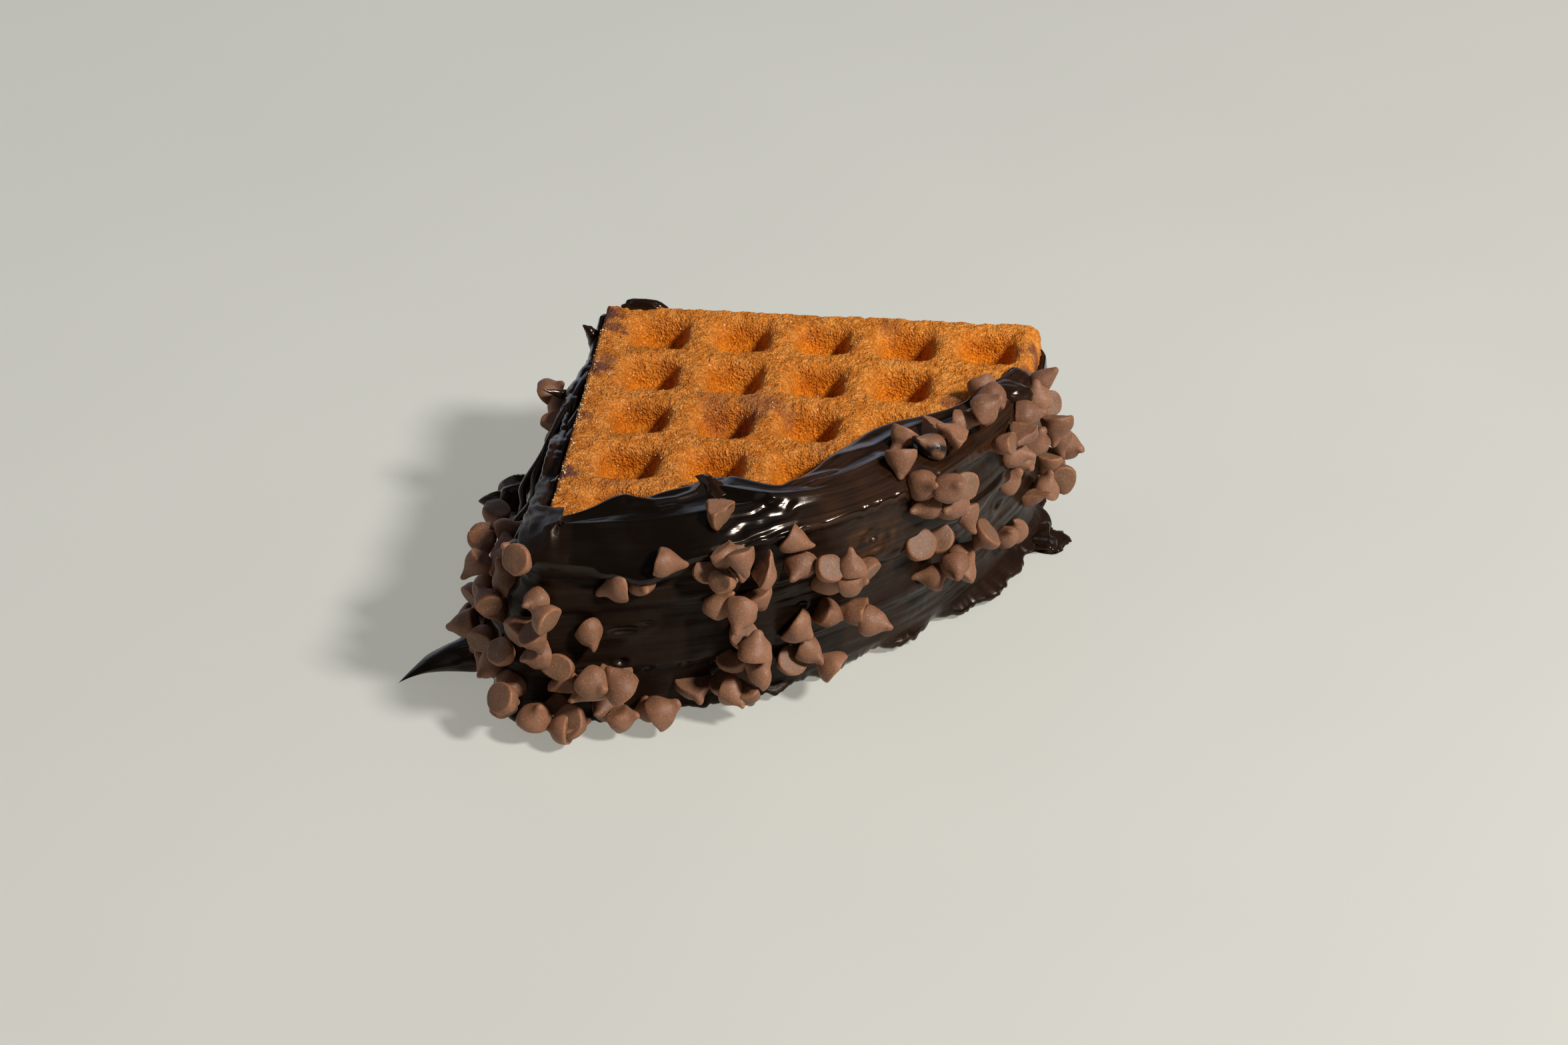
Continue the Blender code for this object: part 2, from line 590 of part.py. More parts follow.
def chip_places(track):
    """Where each chip's middle is and the way out there, before chips that meet are pushed apart."""
    draw = np.random.default_rng(SEED)
    places = []
    for height, first, last, count in chip_rows(track):
        for share in (np.arange(count) + 0.5) / count:
            station = np.array([first + (last - first) * share + draw.normal(0, CHIP_JITTER)])
            level = np.array([height * MM + draw.normal(0, CHIP_JITTER)])
            out, heights = coat_rows(track, station)
            stands = np.interp(level, heights[WALL_ROWS, 0], out[WALL_ROWS, 0])
            point = on_side(track, station, stands, level)[0]
            away = track.at(station)[1][0]
            places.append((point, Vector((away[0], -away[1], 0.15)).normalized()))
    for station, inset in top_chips(track):
        station = np.array([station])
        out, heights = coat_rows(track, station)
        height = np.interp(-inset * MM, out[TOP_ROWS, 0][::-1], heights[TOP_ROWS, 0][::-1])
        point = on_side(track, station, np.array([-inset * MM]), np.array([height]))[0]
        away = track.at(station)[1][0]
        places.append((point, Vector((away[0] * 0.4, -away[1] * 0.4, 1)).normalized()))
    return places


def chips(track):
    """The strewn chips, each turned its own way and pushed out from those that it would lie in."""
    draw = np.random.default_rng(SEED + 1)
    shape = chip_shape()
    faces = ring_faces(len(CHIP_LEVELS), CHIP_SIDES)
    middles, pieces = [], []
    for point, away in chip_places(track):
        aim = Vector(draw.normal(0, 1, 3)).normalized()
        aim = (aim + away * 0.35).normalized()
        turn = aim.to_track_quat("Z", "X").to_matrix()
        middle = np.array(point) + np.array(away) * CHIP_STAND_OFF
        for _ in range(MOST_PUSHES):
            if all(np.linalg.norm(middle - other) > CHIP_SPACING for other in middles):
                break
            middle = middle + np.array(away) * CHIP_PUSH
        points = shape @ np.array(turn).T + middle
        points[:, 2] += max(0, FLOOR_GAP - points[:, 2].min())
        middles.append(middle)
        pieces.append(mesh_object("chip", points, faces))
    return pieces


def largest_body(piece):
    """Drops every separate scrap and every sealed hollow, so that one closed surface is left."""
    shape = bmesh.new()
    shape.from_mesh(piece.data)
    bmesh.ops.triangulate(shape, faces=shape.faces)
    left, bodies = set(shape.faces), []
    while left:
        body, ahead = set(), [left.pop()]
        while ahead:
            face = ahead.pop()
            body.add(face)
            for edge in face.edges:
                for other in edge.link_faces if len(edge.link_faces) == 2 else ():
                    if other in left:
                        left.discard(other)
                        ahead.append(other)
        bodies.append(body)
    largest = max(bodies, key=len)
    scrap = [face for body in bodies if body is not largest for face in body]
    bmesh.ops.delete(shape, geom=scrap, context="FACES")
    shape.to_mesh(piece.data)
    shape.free()
    return piece


def chocolate():
    """Coat, spread between the layers, squeezed-out lumps and chips, as one body clear of the layers."""
    track = Track(COAT_CORNER)
    body = coat(track)
    boolean(body, "UNION", squeezed_out() + chips(track), solver="MANIFOLD")
    hollows = [waffle(name, grow=CLEARANCE) for name in LAYER_NAMES] + [side_gap()]
    boolean(body, "DIFFERENCE", hollows, solver="MANIFOLD")
    return largest_body(body)


def main():
    for old in list(bpy.data.objects):
        bpy.data.objects.remove(old)
    baked = finish("baked_waffle", (0.52, 0.20, 0.045), 0.8)
    spread = finish("dark_chocolate", (0.022, 0.011, 0.007), 0.25)
    dressed(chocolate(), spread)
    for name in LAYER_NAMES:
        dressed(waffle(name), baked)


main()
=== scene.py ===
"""A quarter of a belgian waffle in three layers, coated with dark chocolate and strewn with chocolate chips.

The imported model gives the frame. Every piece here stands for one of its nodes and follows the same driving sizes,
with the crumb, the folds of the spread and the chips' own shape added. A place is given as (across, forward,
height): from the cut corner of the top layer to the right, from there to the front, and up from the resting face.
"""

import itertools
import logging
import math
from dataclasses import dataclass
from enum import Enum

import bpy
import numpy as np
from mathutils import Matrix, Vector

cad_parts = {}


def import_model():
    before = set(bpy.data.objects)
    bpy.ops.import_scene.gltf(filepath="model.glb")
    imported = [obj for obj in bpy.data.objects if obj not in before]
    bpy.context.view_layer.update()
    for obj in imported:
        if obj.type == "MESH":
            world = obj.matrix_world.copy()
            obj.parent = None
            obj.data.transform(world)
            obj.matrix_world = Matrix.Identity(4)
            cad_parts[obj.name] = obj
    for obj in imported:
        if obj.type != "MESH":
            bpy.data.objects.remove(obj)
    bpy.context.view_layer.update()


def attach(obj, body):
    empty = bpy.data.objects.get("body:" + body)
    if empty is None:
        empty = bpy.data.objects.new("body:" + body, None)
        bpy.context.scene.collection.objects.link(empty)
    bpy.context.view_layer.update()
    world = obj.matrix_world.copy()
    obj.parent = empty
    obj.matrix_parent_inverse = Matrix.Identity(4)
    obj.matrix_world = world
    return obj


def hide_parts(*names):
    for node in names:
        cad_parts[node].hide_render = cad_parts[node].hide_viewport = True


Array = np.ndarray
Colour = tuple[float, float, float]
Place = tuple[float, float, float]
Knots = tuple[tuple[float, float], ...]

LOG = logging.getLogger("belgian_waffle")
MM = 0.001
QUARTER = math.pi / 2
BODY = "root"
WAFFLE_SLOT = "baked_waffle"
CHOCOLATE_SLOT = "dark_chocolate"
HASH_FACTORS = (73856093, 19349663, 83492791)
SEED_FACTOR = 7919
FOLDED_FACTOR = 1274126177
LARGEST_HASH = 0xFFFFFF
# Keeps a division's lower part from being zero, in metres
TINY = 1e-9


# ---- noise


def hashed(cells: Array, seed: int) -> Array:
    """Gives each cell of a whole-number lattice its own number from 0 to 1.

    Formula: the cell's coordinates times large odd numbers are summed, folded on themselves twice and scaled.

    Args:
        cells: whole numbers of shape (..., dimensions).
        seed: changes all the numbers.

    Returns:
        Numbers from 0 to 1 of shape (...).
    """
    factors = np.array(HASH_FACTORS[: cells.shape[-1]], dtype=np.int64)
    mixed = (cells.astype(np.int64) * factors).sum(axis=-1) + seed * SEED_FACTOR
    mixed = (mixed ^ (mixed >> 13)) * FOLDED_FACTOR
    mixed = (mixed ^ (mixed >> 16)) & LARGEST_HASH
    return mixed / float(LARGEST_HASH)


def smooth_noise(points: Array, seed: int) -> Array:
    """Smooth noise from -1 to 1 whose bumps are about one unit apart.

    Formula: the numbers of the cell's corners, blended by the smooth share 3t^2 - 2t^3 along each dimension.

    Args:
        points: positions of shape (..., dimensions).
        seed: which noise.

    Returns:
        Values from -1 to 1 of shape (...).
    """
    base = np.floor(points)
    share = points - base
    share = share * share * (3 - 2 * share)
    base = base.astype(np.int64)
    total = np.zeros(points.shape[:-1])
    for corner in itertools.product((0, 1), repeat=points.shape[-1]):
        offset = np.array(corner)
        weight = np.where(offset == 1, share, 1 - share).prod(axis=-1)
        total += weight * hashed(base + offset, seed)
    return total * 2 - 1


def rough_noise(points: Array, seed: int, octaves: int = 3) -> Array:
    """Layers of smooth noise, each twice as fine and half as high as the last.

    Args:
        points: positions of shape (..., dimensions).
        seed: which noise.
        octaves: how many layers.

    Returns:
        The layers' sum of shape (...).
    """
    total = np.zeros(points.shape[:-1])
    for octave in range(octaves):
        total += smooth_noise(points * 2**octave, seed + octave) * 0.5**octave
    return total


def smooth_step(value: Array, low: float, high: float) -> Array:
    """Rises smoothly from 0 at low to 1 at high: 3t^2 - 2t^3 of the share between them."""
    share = np.clip((value - low) / (high - low), 0, 1)
    return share * share * (3 - 2 * share)


def mound(value: Array, middle: float, half: float) -> Array:
    """A Gaussian mound: 1 at the middle and 1/e at so much to either side."""
    return np.exp(-(((value - middle) / half) ** 2))


def pair(first: Array, second: Array) -> Array:
    """Two lengths side by side, as the place that noise over them reads."""
    return np.stack(np.broadcast_arrays(first, second), axis=-1)


# ---- meshes


def make_mesh(name: str, points: Array, faces: list) -> bpy.types.Object:
    """Makes a smooth-shaded object of a closed body, its faces turned outward.

    Formula: the body's signed volume is the sum of each face's height over the origin times its area, over
    three; where that is negative, every face is turned round.

    Args:
        name: the piece's name.
        points: vertices of shape (count, 3), in metres.
        faces: tuples or lists of vertex numbers.

    Returns:
        The new object, at the origin.
    """
    volume = 0.0
    for size, group in itertools.groupby(sorted(faces, key=len), key=len):
        ring = points[np.array(list(group))]
        for k in range(1, size - 1):
            volume += np.einsum("ij,ij->", ring[:, 0], np.cross(ring[:, k], ring[:, k + 1])) / 6
    if volume < 0:
        faces = [face[::-1] for face in faces]
    mesh = bpy.data.meshes.new(name)
    mesh.from_pydata(points.tolist(), [], faces)
    mesh.shade_smooth()
    piece = bpy.data.objects.new(name, mesh)
    bpy.context.scene.collection.objects.link(piece)
    return piece


def ring_quads(rings: int, columns: int, closed: bool = False) -> list:
    """The quads between rings of so many columns, each ring closed on itself.

    Args:
        rings: how many rings.
        columns: points in a ring.
        closed: whether the last ring also joins the first.

    Returns:
        Lists of four vertex numbers.
    """
    last = rings if closed else rings - 1
    low = np.arange(last)[:, None] * columns
    high = ((np.arange(last) + 1) % rings)[:, None] * columns
    column = np.arange(columns)[None, :]
    after = (column + 1) % columns
    quads = np.stack([low + column, low + after, high + after, high + column], axis=-1)
    return quads.reshape(-1, 4).tolist()


def capped_rings(rings: int, columns: int) -> list:
    """The faces of a body of rings with a middle point at each end, all turned the same way.

    The middle points' numbers come after the rings' points: first that of the first ring, then that of the last.

    Args:
        rings: how many rings.
        columns: points in a ring.

    Returns:
        Lists of four and three vertex numbers.
    """
    column = np.arange(columns)
    after = (column + 1) % columns
    base = (rings - 1) * columns
    first = np.stack([np.full(columns, rings * columns), after, column], axis=-1)
    last = np.stack([np.full(columns, rings * columns + 1), base + column, base + after], axis=-1)
    return ring_quads(rings, columns) + first.tolist() + last.tolist()


def paint(piece: bpy.types.Object, name: str, values: Array) -> None:
    """Stores one number for each vertex under a name that materials read."""
    layer = piece.data.attributes.new(name, "FLOAT", "POINT")
    layer.data.foreach_set("value", values.astype(np.float32).ravel())


def map_lengths(piece: bpy.types.Object, along: Array, across: Array) -> None:
    """Stores a UV map of two lengths in metres for each vertex.

    Args:
        piece: the piece.
        along: each vertex's first length.
        across: its second length.
    """
    corners = np.zeros(len(piece.data.loops), dtype=np.int32)
    piece.data.loops.foreach_get("vertex_index", corners)
    layer = piece.data.uv_layers.new(name="lengths")
    pairs = np.stack([along.ravel()[corners], across.ravel()[corners]], axis=-1)
    layer.data.foreach_set("uv", pairs.astype(np.float32).ravel())


def settle(piece: bpy.types.Object, slot: str, *nodes: str) -> None:
    """Ties a piece to the frame: its body and the nodes that it stands for.

    Args:
        piece: the piece.
        slot: not used.
        nodes: the nodes that it replaces.
    """
    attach(piece, BODY)
    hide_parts(*nodes)
    LOG.info("%s: %d faces, for %s", piece.name, len(piece.data.polygons), ", ".join(nodes))


# ---- materials


class Graph:
    """A material's node tree, with short ways to add nodes and join them."""

    def __init__(self, name: str) -> None:
        """Starts a material with one Principled shader.

        Args:
            name: the material's name.
        """
        self.material = bpy.data.materials.new(name)
        self.material.use_nodes = True
        self.tree = self.material.node_tree
        self.shader = self.tree.nodes["Principled BSDF"]
        self.places = self.add("ShaderNodeTexCoord", {}).outputs["Object"]

    def set(self, name: str, value: object) -> None:
        """Sets one of the shader's own sockets, or links an output to it."""
        self.join(value, self.shader.inputs[name])

    def glow_inside(self, weight: float, radius: Place) -> None:
        """Lets light scatter under the surface, by a radius in metres for each of red, green and blue."""
        self.set("Subsurface Weight", weight)
        self.set("Subsurface Radius", radius)
        self.set("Subsurface Scale", 1.0)

    def add(self, kind: str, inputs: dict, **settings: object) -> bpy.types.Node:
        """Adds a node.

        Args:
            kind: the node's type.
            inputs: values or other nodes' outputs by the input's name or number.
            settings: the node's own properties.

        Returns:
            The node.
        """
        node = self.tree.nodes.new(kind)
        for name, value in settings.items():
            setattr(node, name, value)
        for name, value in inputs.items():
            self.join(value, node.inputs[name])
        return node

    def join(self, value: object, socket: bpy.types.NodeSocket) -> None:
        """Links an output to the socket, or sets the socket's value.

        Args:
            value: an output, a number, a colour or a vector.
            socket: the input.
        """
        if isinstance(value, bpy.types.NodeSocket):
            self.tree.links.new(value, socket)
        elif isinstance(value, tuple) and len(value) == 3 and socket.type == "RGBA":
            socket.default_value = (*value, 1)
        else:
            socket.default_value = value

    def streaks(self, lengths: object, along: float, across: float, detail: float) -> bpy.types.NodeSocket:
        """Noise over a map of two lengths, drawn out: bumps so many metres long and wide."""
        inputs = {"Vector": lengths, "Scale": (1 / along, 1 / across, 1.0)}
        return self.noise(1.0, detail, self.add("ShaderNodeMapping", inputs).outputs["Vector"])

    def noise(self, size: float, detail: float = 2.0, vector: object = None) -> bpy.types.NodeSocket:
        """Noise whose bumps are about size metres apart."""
        inputs = {"Vector": vector or self.places, "Scale": 1 / size, "Detail": detail, "Roughness": 0.6}
        return self.add("ShaderNodeTexNoise", inputs).outputs["Fac"]

    def specks(self, size: float, share: float, radius: float) -> bpy.types.NodeSocket:
        """Small round specks, 1 inside one and 0 elsewhere.

        Args:
            size: how far apart the cells are, in metres.
            share: the share of the cells that have one.
            radius: a speck's radius as a share of the size.

        Returns:
            The number at each place.
        """
        cells = self.add("ShaderNodeTexVoronoi", {"Vector": self.places, "Scale": 1 / size})
        inside = self.add(
            "ShaderNodeMapRange",
            {0: cells.outputs["Distance"], 1: radius, 2: radius * 0.6, 3: 0.0, 4: 1.0},
        )
        tone = self.add("ShaderNodeSeparateColor", {0: cells.outputs["Color"]})
        chosen = self.add("ShaderNodeMath", {0: tone.outputs[0], 1: share}, operation="LESS_THAN")
        return self.times(inside.outputs[0], chosen.outputs[0])

    def cells(self, size: float) -> bpy.types.NodeSocket:
        """The distance to the nearest point of scattered grains, about size metres apart."""
        found = self.add("ShaderNodeTexVoronoi", {"Vector": self.places, "Scale": 1 / size})
        return found.outputs["Distance"]

    def times(self, first: object, second: object) -> bpy.types.NodeSocket:
        """The product of two numbers."""
        return self.add("ShaderNodeMath", {0: first, 1: second}, operation="MULTIPLY").outputs[0]

    def shaded(self, colour: object, red: object, green: object, blue: object) -> bpy.types.NodeSocket:
        """A colour multiplied by a number for each of red, green and blue."""
        shades = self.add("ShaderNodeCombineColor", {0: red, 1: green, 2: blue}).outputs[0]
        return self.blend(colour, shades, 1.0, "MULTIPLY")

    def plus(self, first: object, second: object) -> bpy.types.NodeSocket:
        """The sum of two numbers."""
        return self.add("ShaderNodeMath", {0: first, 1: second}, operation="ADD").outputs[0]

    def ranged(self, value: object, low: float, high: float, first: float, last: float) -> bpy.types.NodeSocket:
        """The value mapped from low..high to first..last, and kept between them."""
        return self.add("ShaderNodeMapRange", {0: value, 1: low, 2: high, 3: first, 4: last}).outputs[0]

    def painted(self, name: str) -> bpy.types.NodeSocket:
        """A number stored for each vertex."""
        return self.add("ShaderNodeAttribute", {}, attribute_name=name).outputs["Fac"]

    def blend(self, first: object, second: object, share: object, mode: str = "MIX") -> bpy.types.NodeSocket:
        """Two colours mixed by a share.

        Args:
            first: the colour at 0.
            second: the colour at 1.
            share: how much of the second.
            mode: the way of mixing.

        Returns:
            The mixed colour.
        """
        node = self.add("ShaderNodeMix", {}, data_type="RGBA", blend_type=mode)
        self.join(share, node.inputs[0])
        self.join(first, node.inputs[6])
        self.join(second, node.inputs[7])
        return node.outputs[2]

    def bump(self, height: object, distance: float, strength: float, below: object = None) -> bpy.types.NodeSocket:
        """A bumped normal, over another one if given.

        Args:
            height: the relief from 0 to 1.
            distance: the relief's height in metres.
            strength: how much of it shows.
            below: the other bump.

        Returns:
            The normal.
        """
        inputs = {"Height": height, "Distance": distance, "Strength": strength}
        if below is not None:
            inputs["Normal"] = below
        return self.add("ShaderNodeBump", inputs).outputs["Normal"]


@dataclass(frozen=True)
class BakedCrumb:
    """The waffle's baked face: dusty brown ribs, orange pockets, stains of spread and grains of sugar."""

    rib: Colour = (0.55, 0.166, 0.019)
    rib_pale: Colour = (0.73, 0.275, 0.056)
    pocket: Colour = (0.66, 0.200, 0.012)
    pocket_deep: Colour = (0.52, 0.132, 0.006)
    stain: Colour = (0.105, 0.040, 0.036)
    sugar: Colour = (0.82, 0.62, 0.40)
    roughness: float = 0.78
    specular: float = 0.10
    glow: float = 0.10
    glow_radius: Place = (3.5 * MM, 1.4 * MM, 0.5 * MM)
    relief: float = 0.5 * MM

    def build(self) -> bpy.types.Material:
        """Makes the material.

        Returns:
            The finish, ready for a piece.
        """
        graph = Graph("baked_crumb")
        depth = graph.painted("depth")
        stain = graph.painted("stain")
        coarse = graph.noise(6 * MM, 3)
        dust = graph.ranged(graph.noise(2.6 * MM, 4), 0.38, 0.66, 0.0, 1.0)
        rib = graph.blend(self.rib, self.rib_pale, dust)
        deep = graph.ranged(coarse, 0.35, 0.7, 0.0, 1.0)
        pocket = graph.blend(self.pocket, self.pocket_deep, deep)
        uneven = graph.plus(depth, graph.ranged(coarse, 0.2, 0.8, -0.25, 0.25))
        colour = graph.blend(rib, pocket, graph.ranged(uneven, 0.1, 0.75, 0.0, 1.0))
        crumb = graph.ranged(graph.noise(0.55 * MM, 3), 0.32, 0.70, 0.66, 1.28)
        grain = graph.ranged(graph.cells(0.42 * MM), 0.1, 0.75, 1.16, 0.70)
        shade = graph.times(crumb, grain)
        colour = graph.shaded(colour, shade, shade, shade)
        spot = graph.add("ShaderNodeSeparateXYZ", {0: graph.places})
        backwards = graph.ranged(graph.plus(spot.outputs[0], spot.outputs[1]), -0.06, 0.07, 0.95, 1.17)
        colour = graph.shaded(colour, backwards, backwards, 1.0)
        colour = graph.blend(colour, self.stain, stain)
        specks = graph.plus(graph.specks(1.1 * MM, 0.05, 0.20), graph.specks(0.62 * MM, 0.03, 0.26))
        colour = graph.blend(colour, self.sugar, graph.times(specks, graph.ranged(stain, 0, 1, 0.85, 0.1)))
        graph.set("Base Color", colour)
        graph.set("Roughness", self.roughness)
        graph.set("Specular IOR Level", self.specular)
        graph.glow_inside(self.glow, self.glow_radius)
        fine = graph.bump(graph.cells(0.40 * MM), self.relief, 0.65)
        pores = graph.plus(graph.noise(1.0 * MM, 3), graph.cells(1.1 * MM))
        graph.set("Normal", graph.bump(pores, self.relief, 0.35, fine))
        return graph.material


@dataclass(frozen=True)
class DarkSpread:
    """Dark chocolate spread: glossy where it was smeared, duller and streaked on the side's wall."""

    deep: Colour = (0.0046, 0.0025, 0.0016)
    matte: Colour = (0.0110, 0.0051, 0.0029)
    # The warmer brown that the attribute 'thin' mixes in
    thin: Colour = (0.095, 0.036, 0.014)
    sheen: Colour = (1.0, 0.86, 0.75)
    glossy_roughness: float = 0.17
    matte_roughness: float = 0.46
    glossy_specular: float = 0.34
    matte_specular: float = 0.09

    def build(self) -> bpy.types.Material:
        """Makes the material.

        Returns:
            The finish, ready for a piece.
        """
        graph = Graph("dark_spread")
        gloss = graph.painted("gloss")
        lengths = graph.add("ShaderNodeUVMap", {}, uv_map="lengths").outputs["UV"]
        streaks = graph.streaks(lengths, 16 * MM, 0.65 * MM, 3)
        drawn = graph.streaks(lengths, 30 * MM, 2.2 * MM, 2)
        patches = graph.noise(7 * MM, 3)
        uneven = graph.plus(gloss, graph.ranged(patches, 0.3, 0.7, -0.18, 0.18))
        shine = graph.ranged(uneven, 0.1, 0.9, 0.0, 1.0)
        colour = graph.blend(self.matte, self.deep, shine)
        brown_mix = graph.times(graph.painted("thin"), graph.ranged(streaks, 0.35, 0.65, 0.2, 1.0))
        graph.set("Base Color", graph.blend(colour, self.thin, brown_mix))
        rough = graph.ranged(shine, 0.0, 1.0, self.matte_roughness, self.glossy_roughness)
        graph.set("Roughness", graph.plus(rough, graph.ranged(streaks, 0.3, 0.7, -0.05, 0.06)))
        graph.set("Specular IOR Level", graph.ranged(shine, 0.0, 1.0, self.matte_specular, self.glossy_specular))
        graph.set("Specular Tint", self.sheen)
        low = graph.bump(graph.times(streaks, graph.ranged(shine, 0, 1, 1.0, 0.25)), 0.3 * MM, 0.5)
        wide = graph.bump(drawn, 0.5 * MM, 0.25, low)
        calm = graph.times(graph.noise(0.9 * MM, 2), graph.ranged(shine, 0, 1, 1.0, 0.2))
        graph.set("Normal", graph.bump(calm, 0.12 * MM, 0.35, wide))
        return graph.material


@dataclass(frozen=True)
class MilkChocolate:
    """The chips: dull milk chocolate with a paler flat foot, painted warm glow at its thin edge, and fine specks."""

    light: Colour = (0.262, 0.122, 0.066)
    dark: Colour = (0.162, 0.070, 0.035)
    foot: Colour = (0.180, 0.087, 0.045)
    # edge: painted warm glow, the light that shines through the chip's thin foot edge
    edge: Colour = (0.300, 0.125, 0.048)
    speck: Colour = (0.42, 0.29, 0.20)
    smudge: Colour = (0.014, 0.007, 0.005)
    roughness: float = 0.56
    smudge_roughness: float = 0.3
    specular: float = 0.42
    glow: float = 0.3
    glow_radius: Place = (2.2 * MM, 0.9 * MM, 0.4 * MM)

    def build(self) -> bpy.types.Material:
        """Makes the material.

        Returns:
            The finish, ready for a piece.
        """
        graph = Graph("milk_chocolate")
        cloudy = graph.ranged(graph.noise(2.5 * MM, 3), 0.3, 0.7, -0.25, 0.25)
        tone = graph.ranged(graph.plus(graph.painted("tone"), cloudy), 0.0, 1.0, 0.0, 1.0)
        colour = graph.blend(self.dark, self.light, tone)
        colour = graph.blend(colour, self.foot, graph.painted("foot"))
        # Painted glow of light through the thin foot edge, the same on every chip whatever the lamp
        colour = graph.blend(colour, self.edge, graph.times(graph.painted("edge"), 0.55))
        grain = graph.ranged(graph.noise(0.4 * MM, 3), 0.3, 0.7, 0.82, 1.16)
        colour = graph.shaded(colour, grain, grain, grain)
        colour = graph.blend(colour, self.speck, graph.times(graph.specks(0.36 * MM, 0.22, 0.30), 0.7))
        smudge = graph.painted("smudge")
        graph.set("Base Color", graph.blend(colour, self.smudge, smudge))
        graph.set("Roughness", graph.ranged(smudge, 0, 1, self.roughness, self.smudge_roughness))
        graph.set("Specular IOR Level", self.specular)
        graph.glow_inside(self.glow, self.glow_radius)
        soft = graph.bump(graph.noise(1.4 * MM, 2), 0.25 * MM, 0.3)
        graph.set("Normal", graph.bump(graph.noise(0.28 * MM, 2), 0.14 * MM, 0.5, soft))
        return graph.material


@dataclass(frozen=True)
class SugarGrain:
    """Pale, slightly clear grains."""

    pale: Colour = (0.80, 0.62, 0.42)
    warm: Colour = (0.62, 0.36, 0.14)
    roughness: float = 0.3
    glow: float = 0.3
    glow_radius: Place = (1.0 * MM, 0.8 * MM, 0.6 * MM)

    def build(self) -> bpy.types.Material:
        """Makes the material.

        Returns:
            The finish, ready for a piece.
        """
        graph = Graph("sugar_grain")
        colour = graph.blend(self.pale, self.warm, graph.ranged(graph.noise(2 * MM, 2), 0.4, 0.6, 0.0, 1.0))
        graph.set("Base Color", colour)
        graph.set("Roughness", self.roughness)
        graph.glow_inside(self.glow, self.glow_radius)
        return graph.material


# ---- driving sizes


@dataclass(frozen=True)
class Stack:
    """The sizes of the three layers, in metres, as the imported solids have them."""

    radius: float = 84.5 * MM
    layer: float = 11.6 * MM
    spread: float = 2.6 * MM
    shifts: tuple[float, float, float] = (3.0 * MM, 1.4 * MM, 0.0)
    pitch: float = 15.75 * MM
    first_pocket: tuple[float, float] = (11.5 * MM, 9.5 * MM)
    pocket_rows: tuple[int, ...] = (5, 4, 4, 3, 2)
    origin_crossing: int = 1

    @property
    def top(self) -> float:
        """The height of the top face."""
        return 3 * self.layer + 2 * self.spread

    @property
    def seams(self) -> tuple[float, float]:
        """The heights of the two layers of spread."""
        return self.layer + self.spread / 2, 2 * self.layer + 1.5 * self.spread

    def world(self, across: Array, forward: Array, height: Array) -> Array:
        """The frame's coordinates of places: x grows to the right and y to the back.

        Args:
            across: lengths to the right of the cut corner.
            forward: lengths to the front of it.
            height: heights over the resting face.

        Returns:
            Points of shape (..., 3).
        """
        across, forward, height = np.broadcast_arrays(across, forward, height)
        steps = (self.origin_crossing + 0.5) * self.pitch
        x = across + self.shifts[0] - self.first_pocket[0] - steps
        y = self.first_pocket[1] + steps - self.shifts[0] - forward
        return np.stack([x, y, height], axis=-1)

    def slide(self, height: Array) -> Array:
        """How far the stack is slid towards the cut corner at a height."""
        levels = (self.layer, self.layer + self.spread, 2 * self.layer + self.spread, 2 * (self.layer + self.spread))
        low, middle, high = self.shifts
        return np.interp(height, levels, (low, middle, middle, high))


class Side(Enum):
    """A side of the outline, and how a place on it is counted."""

    RIM = "degrees from the back edge"
    LEFT = "mm to the front of the cut corner"
    BACK = "mm to the right of the cut corner"


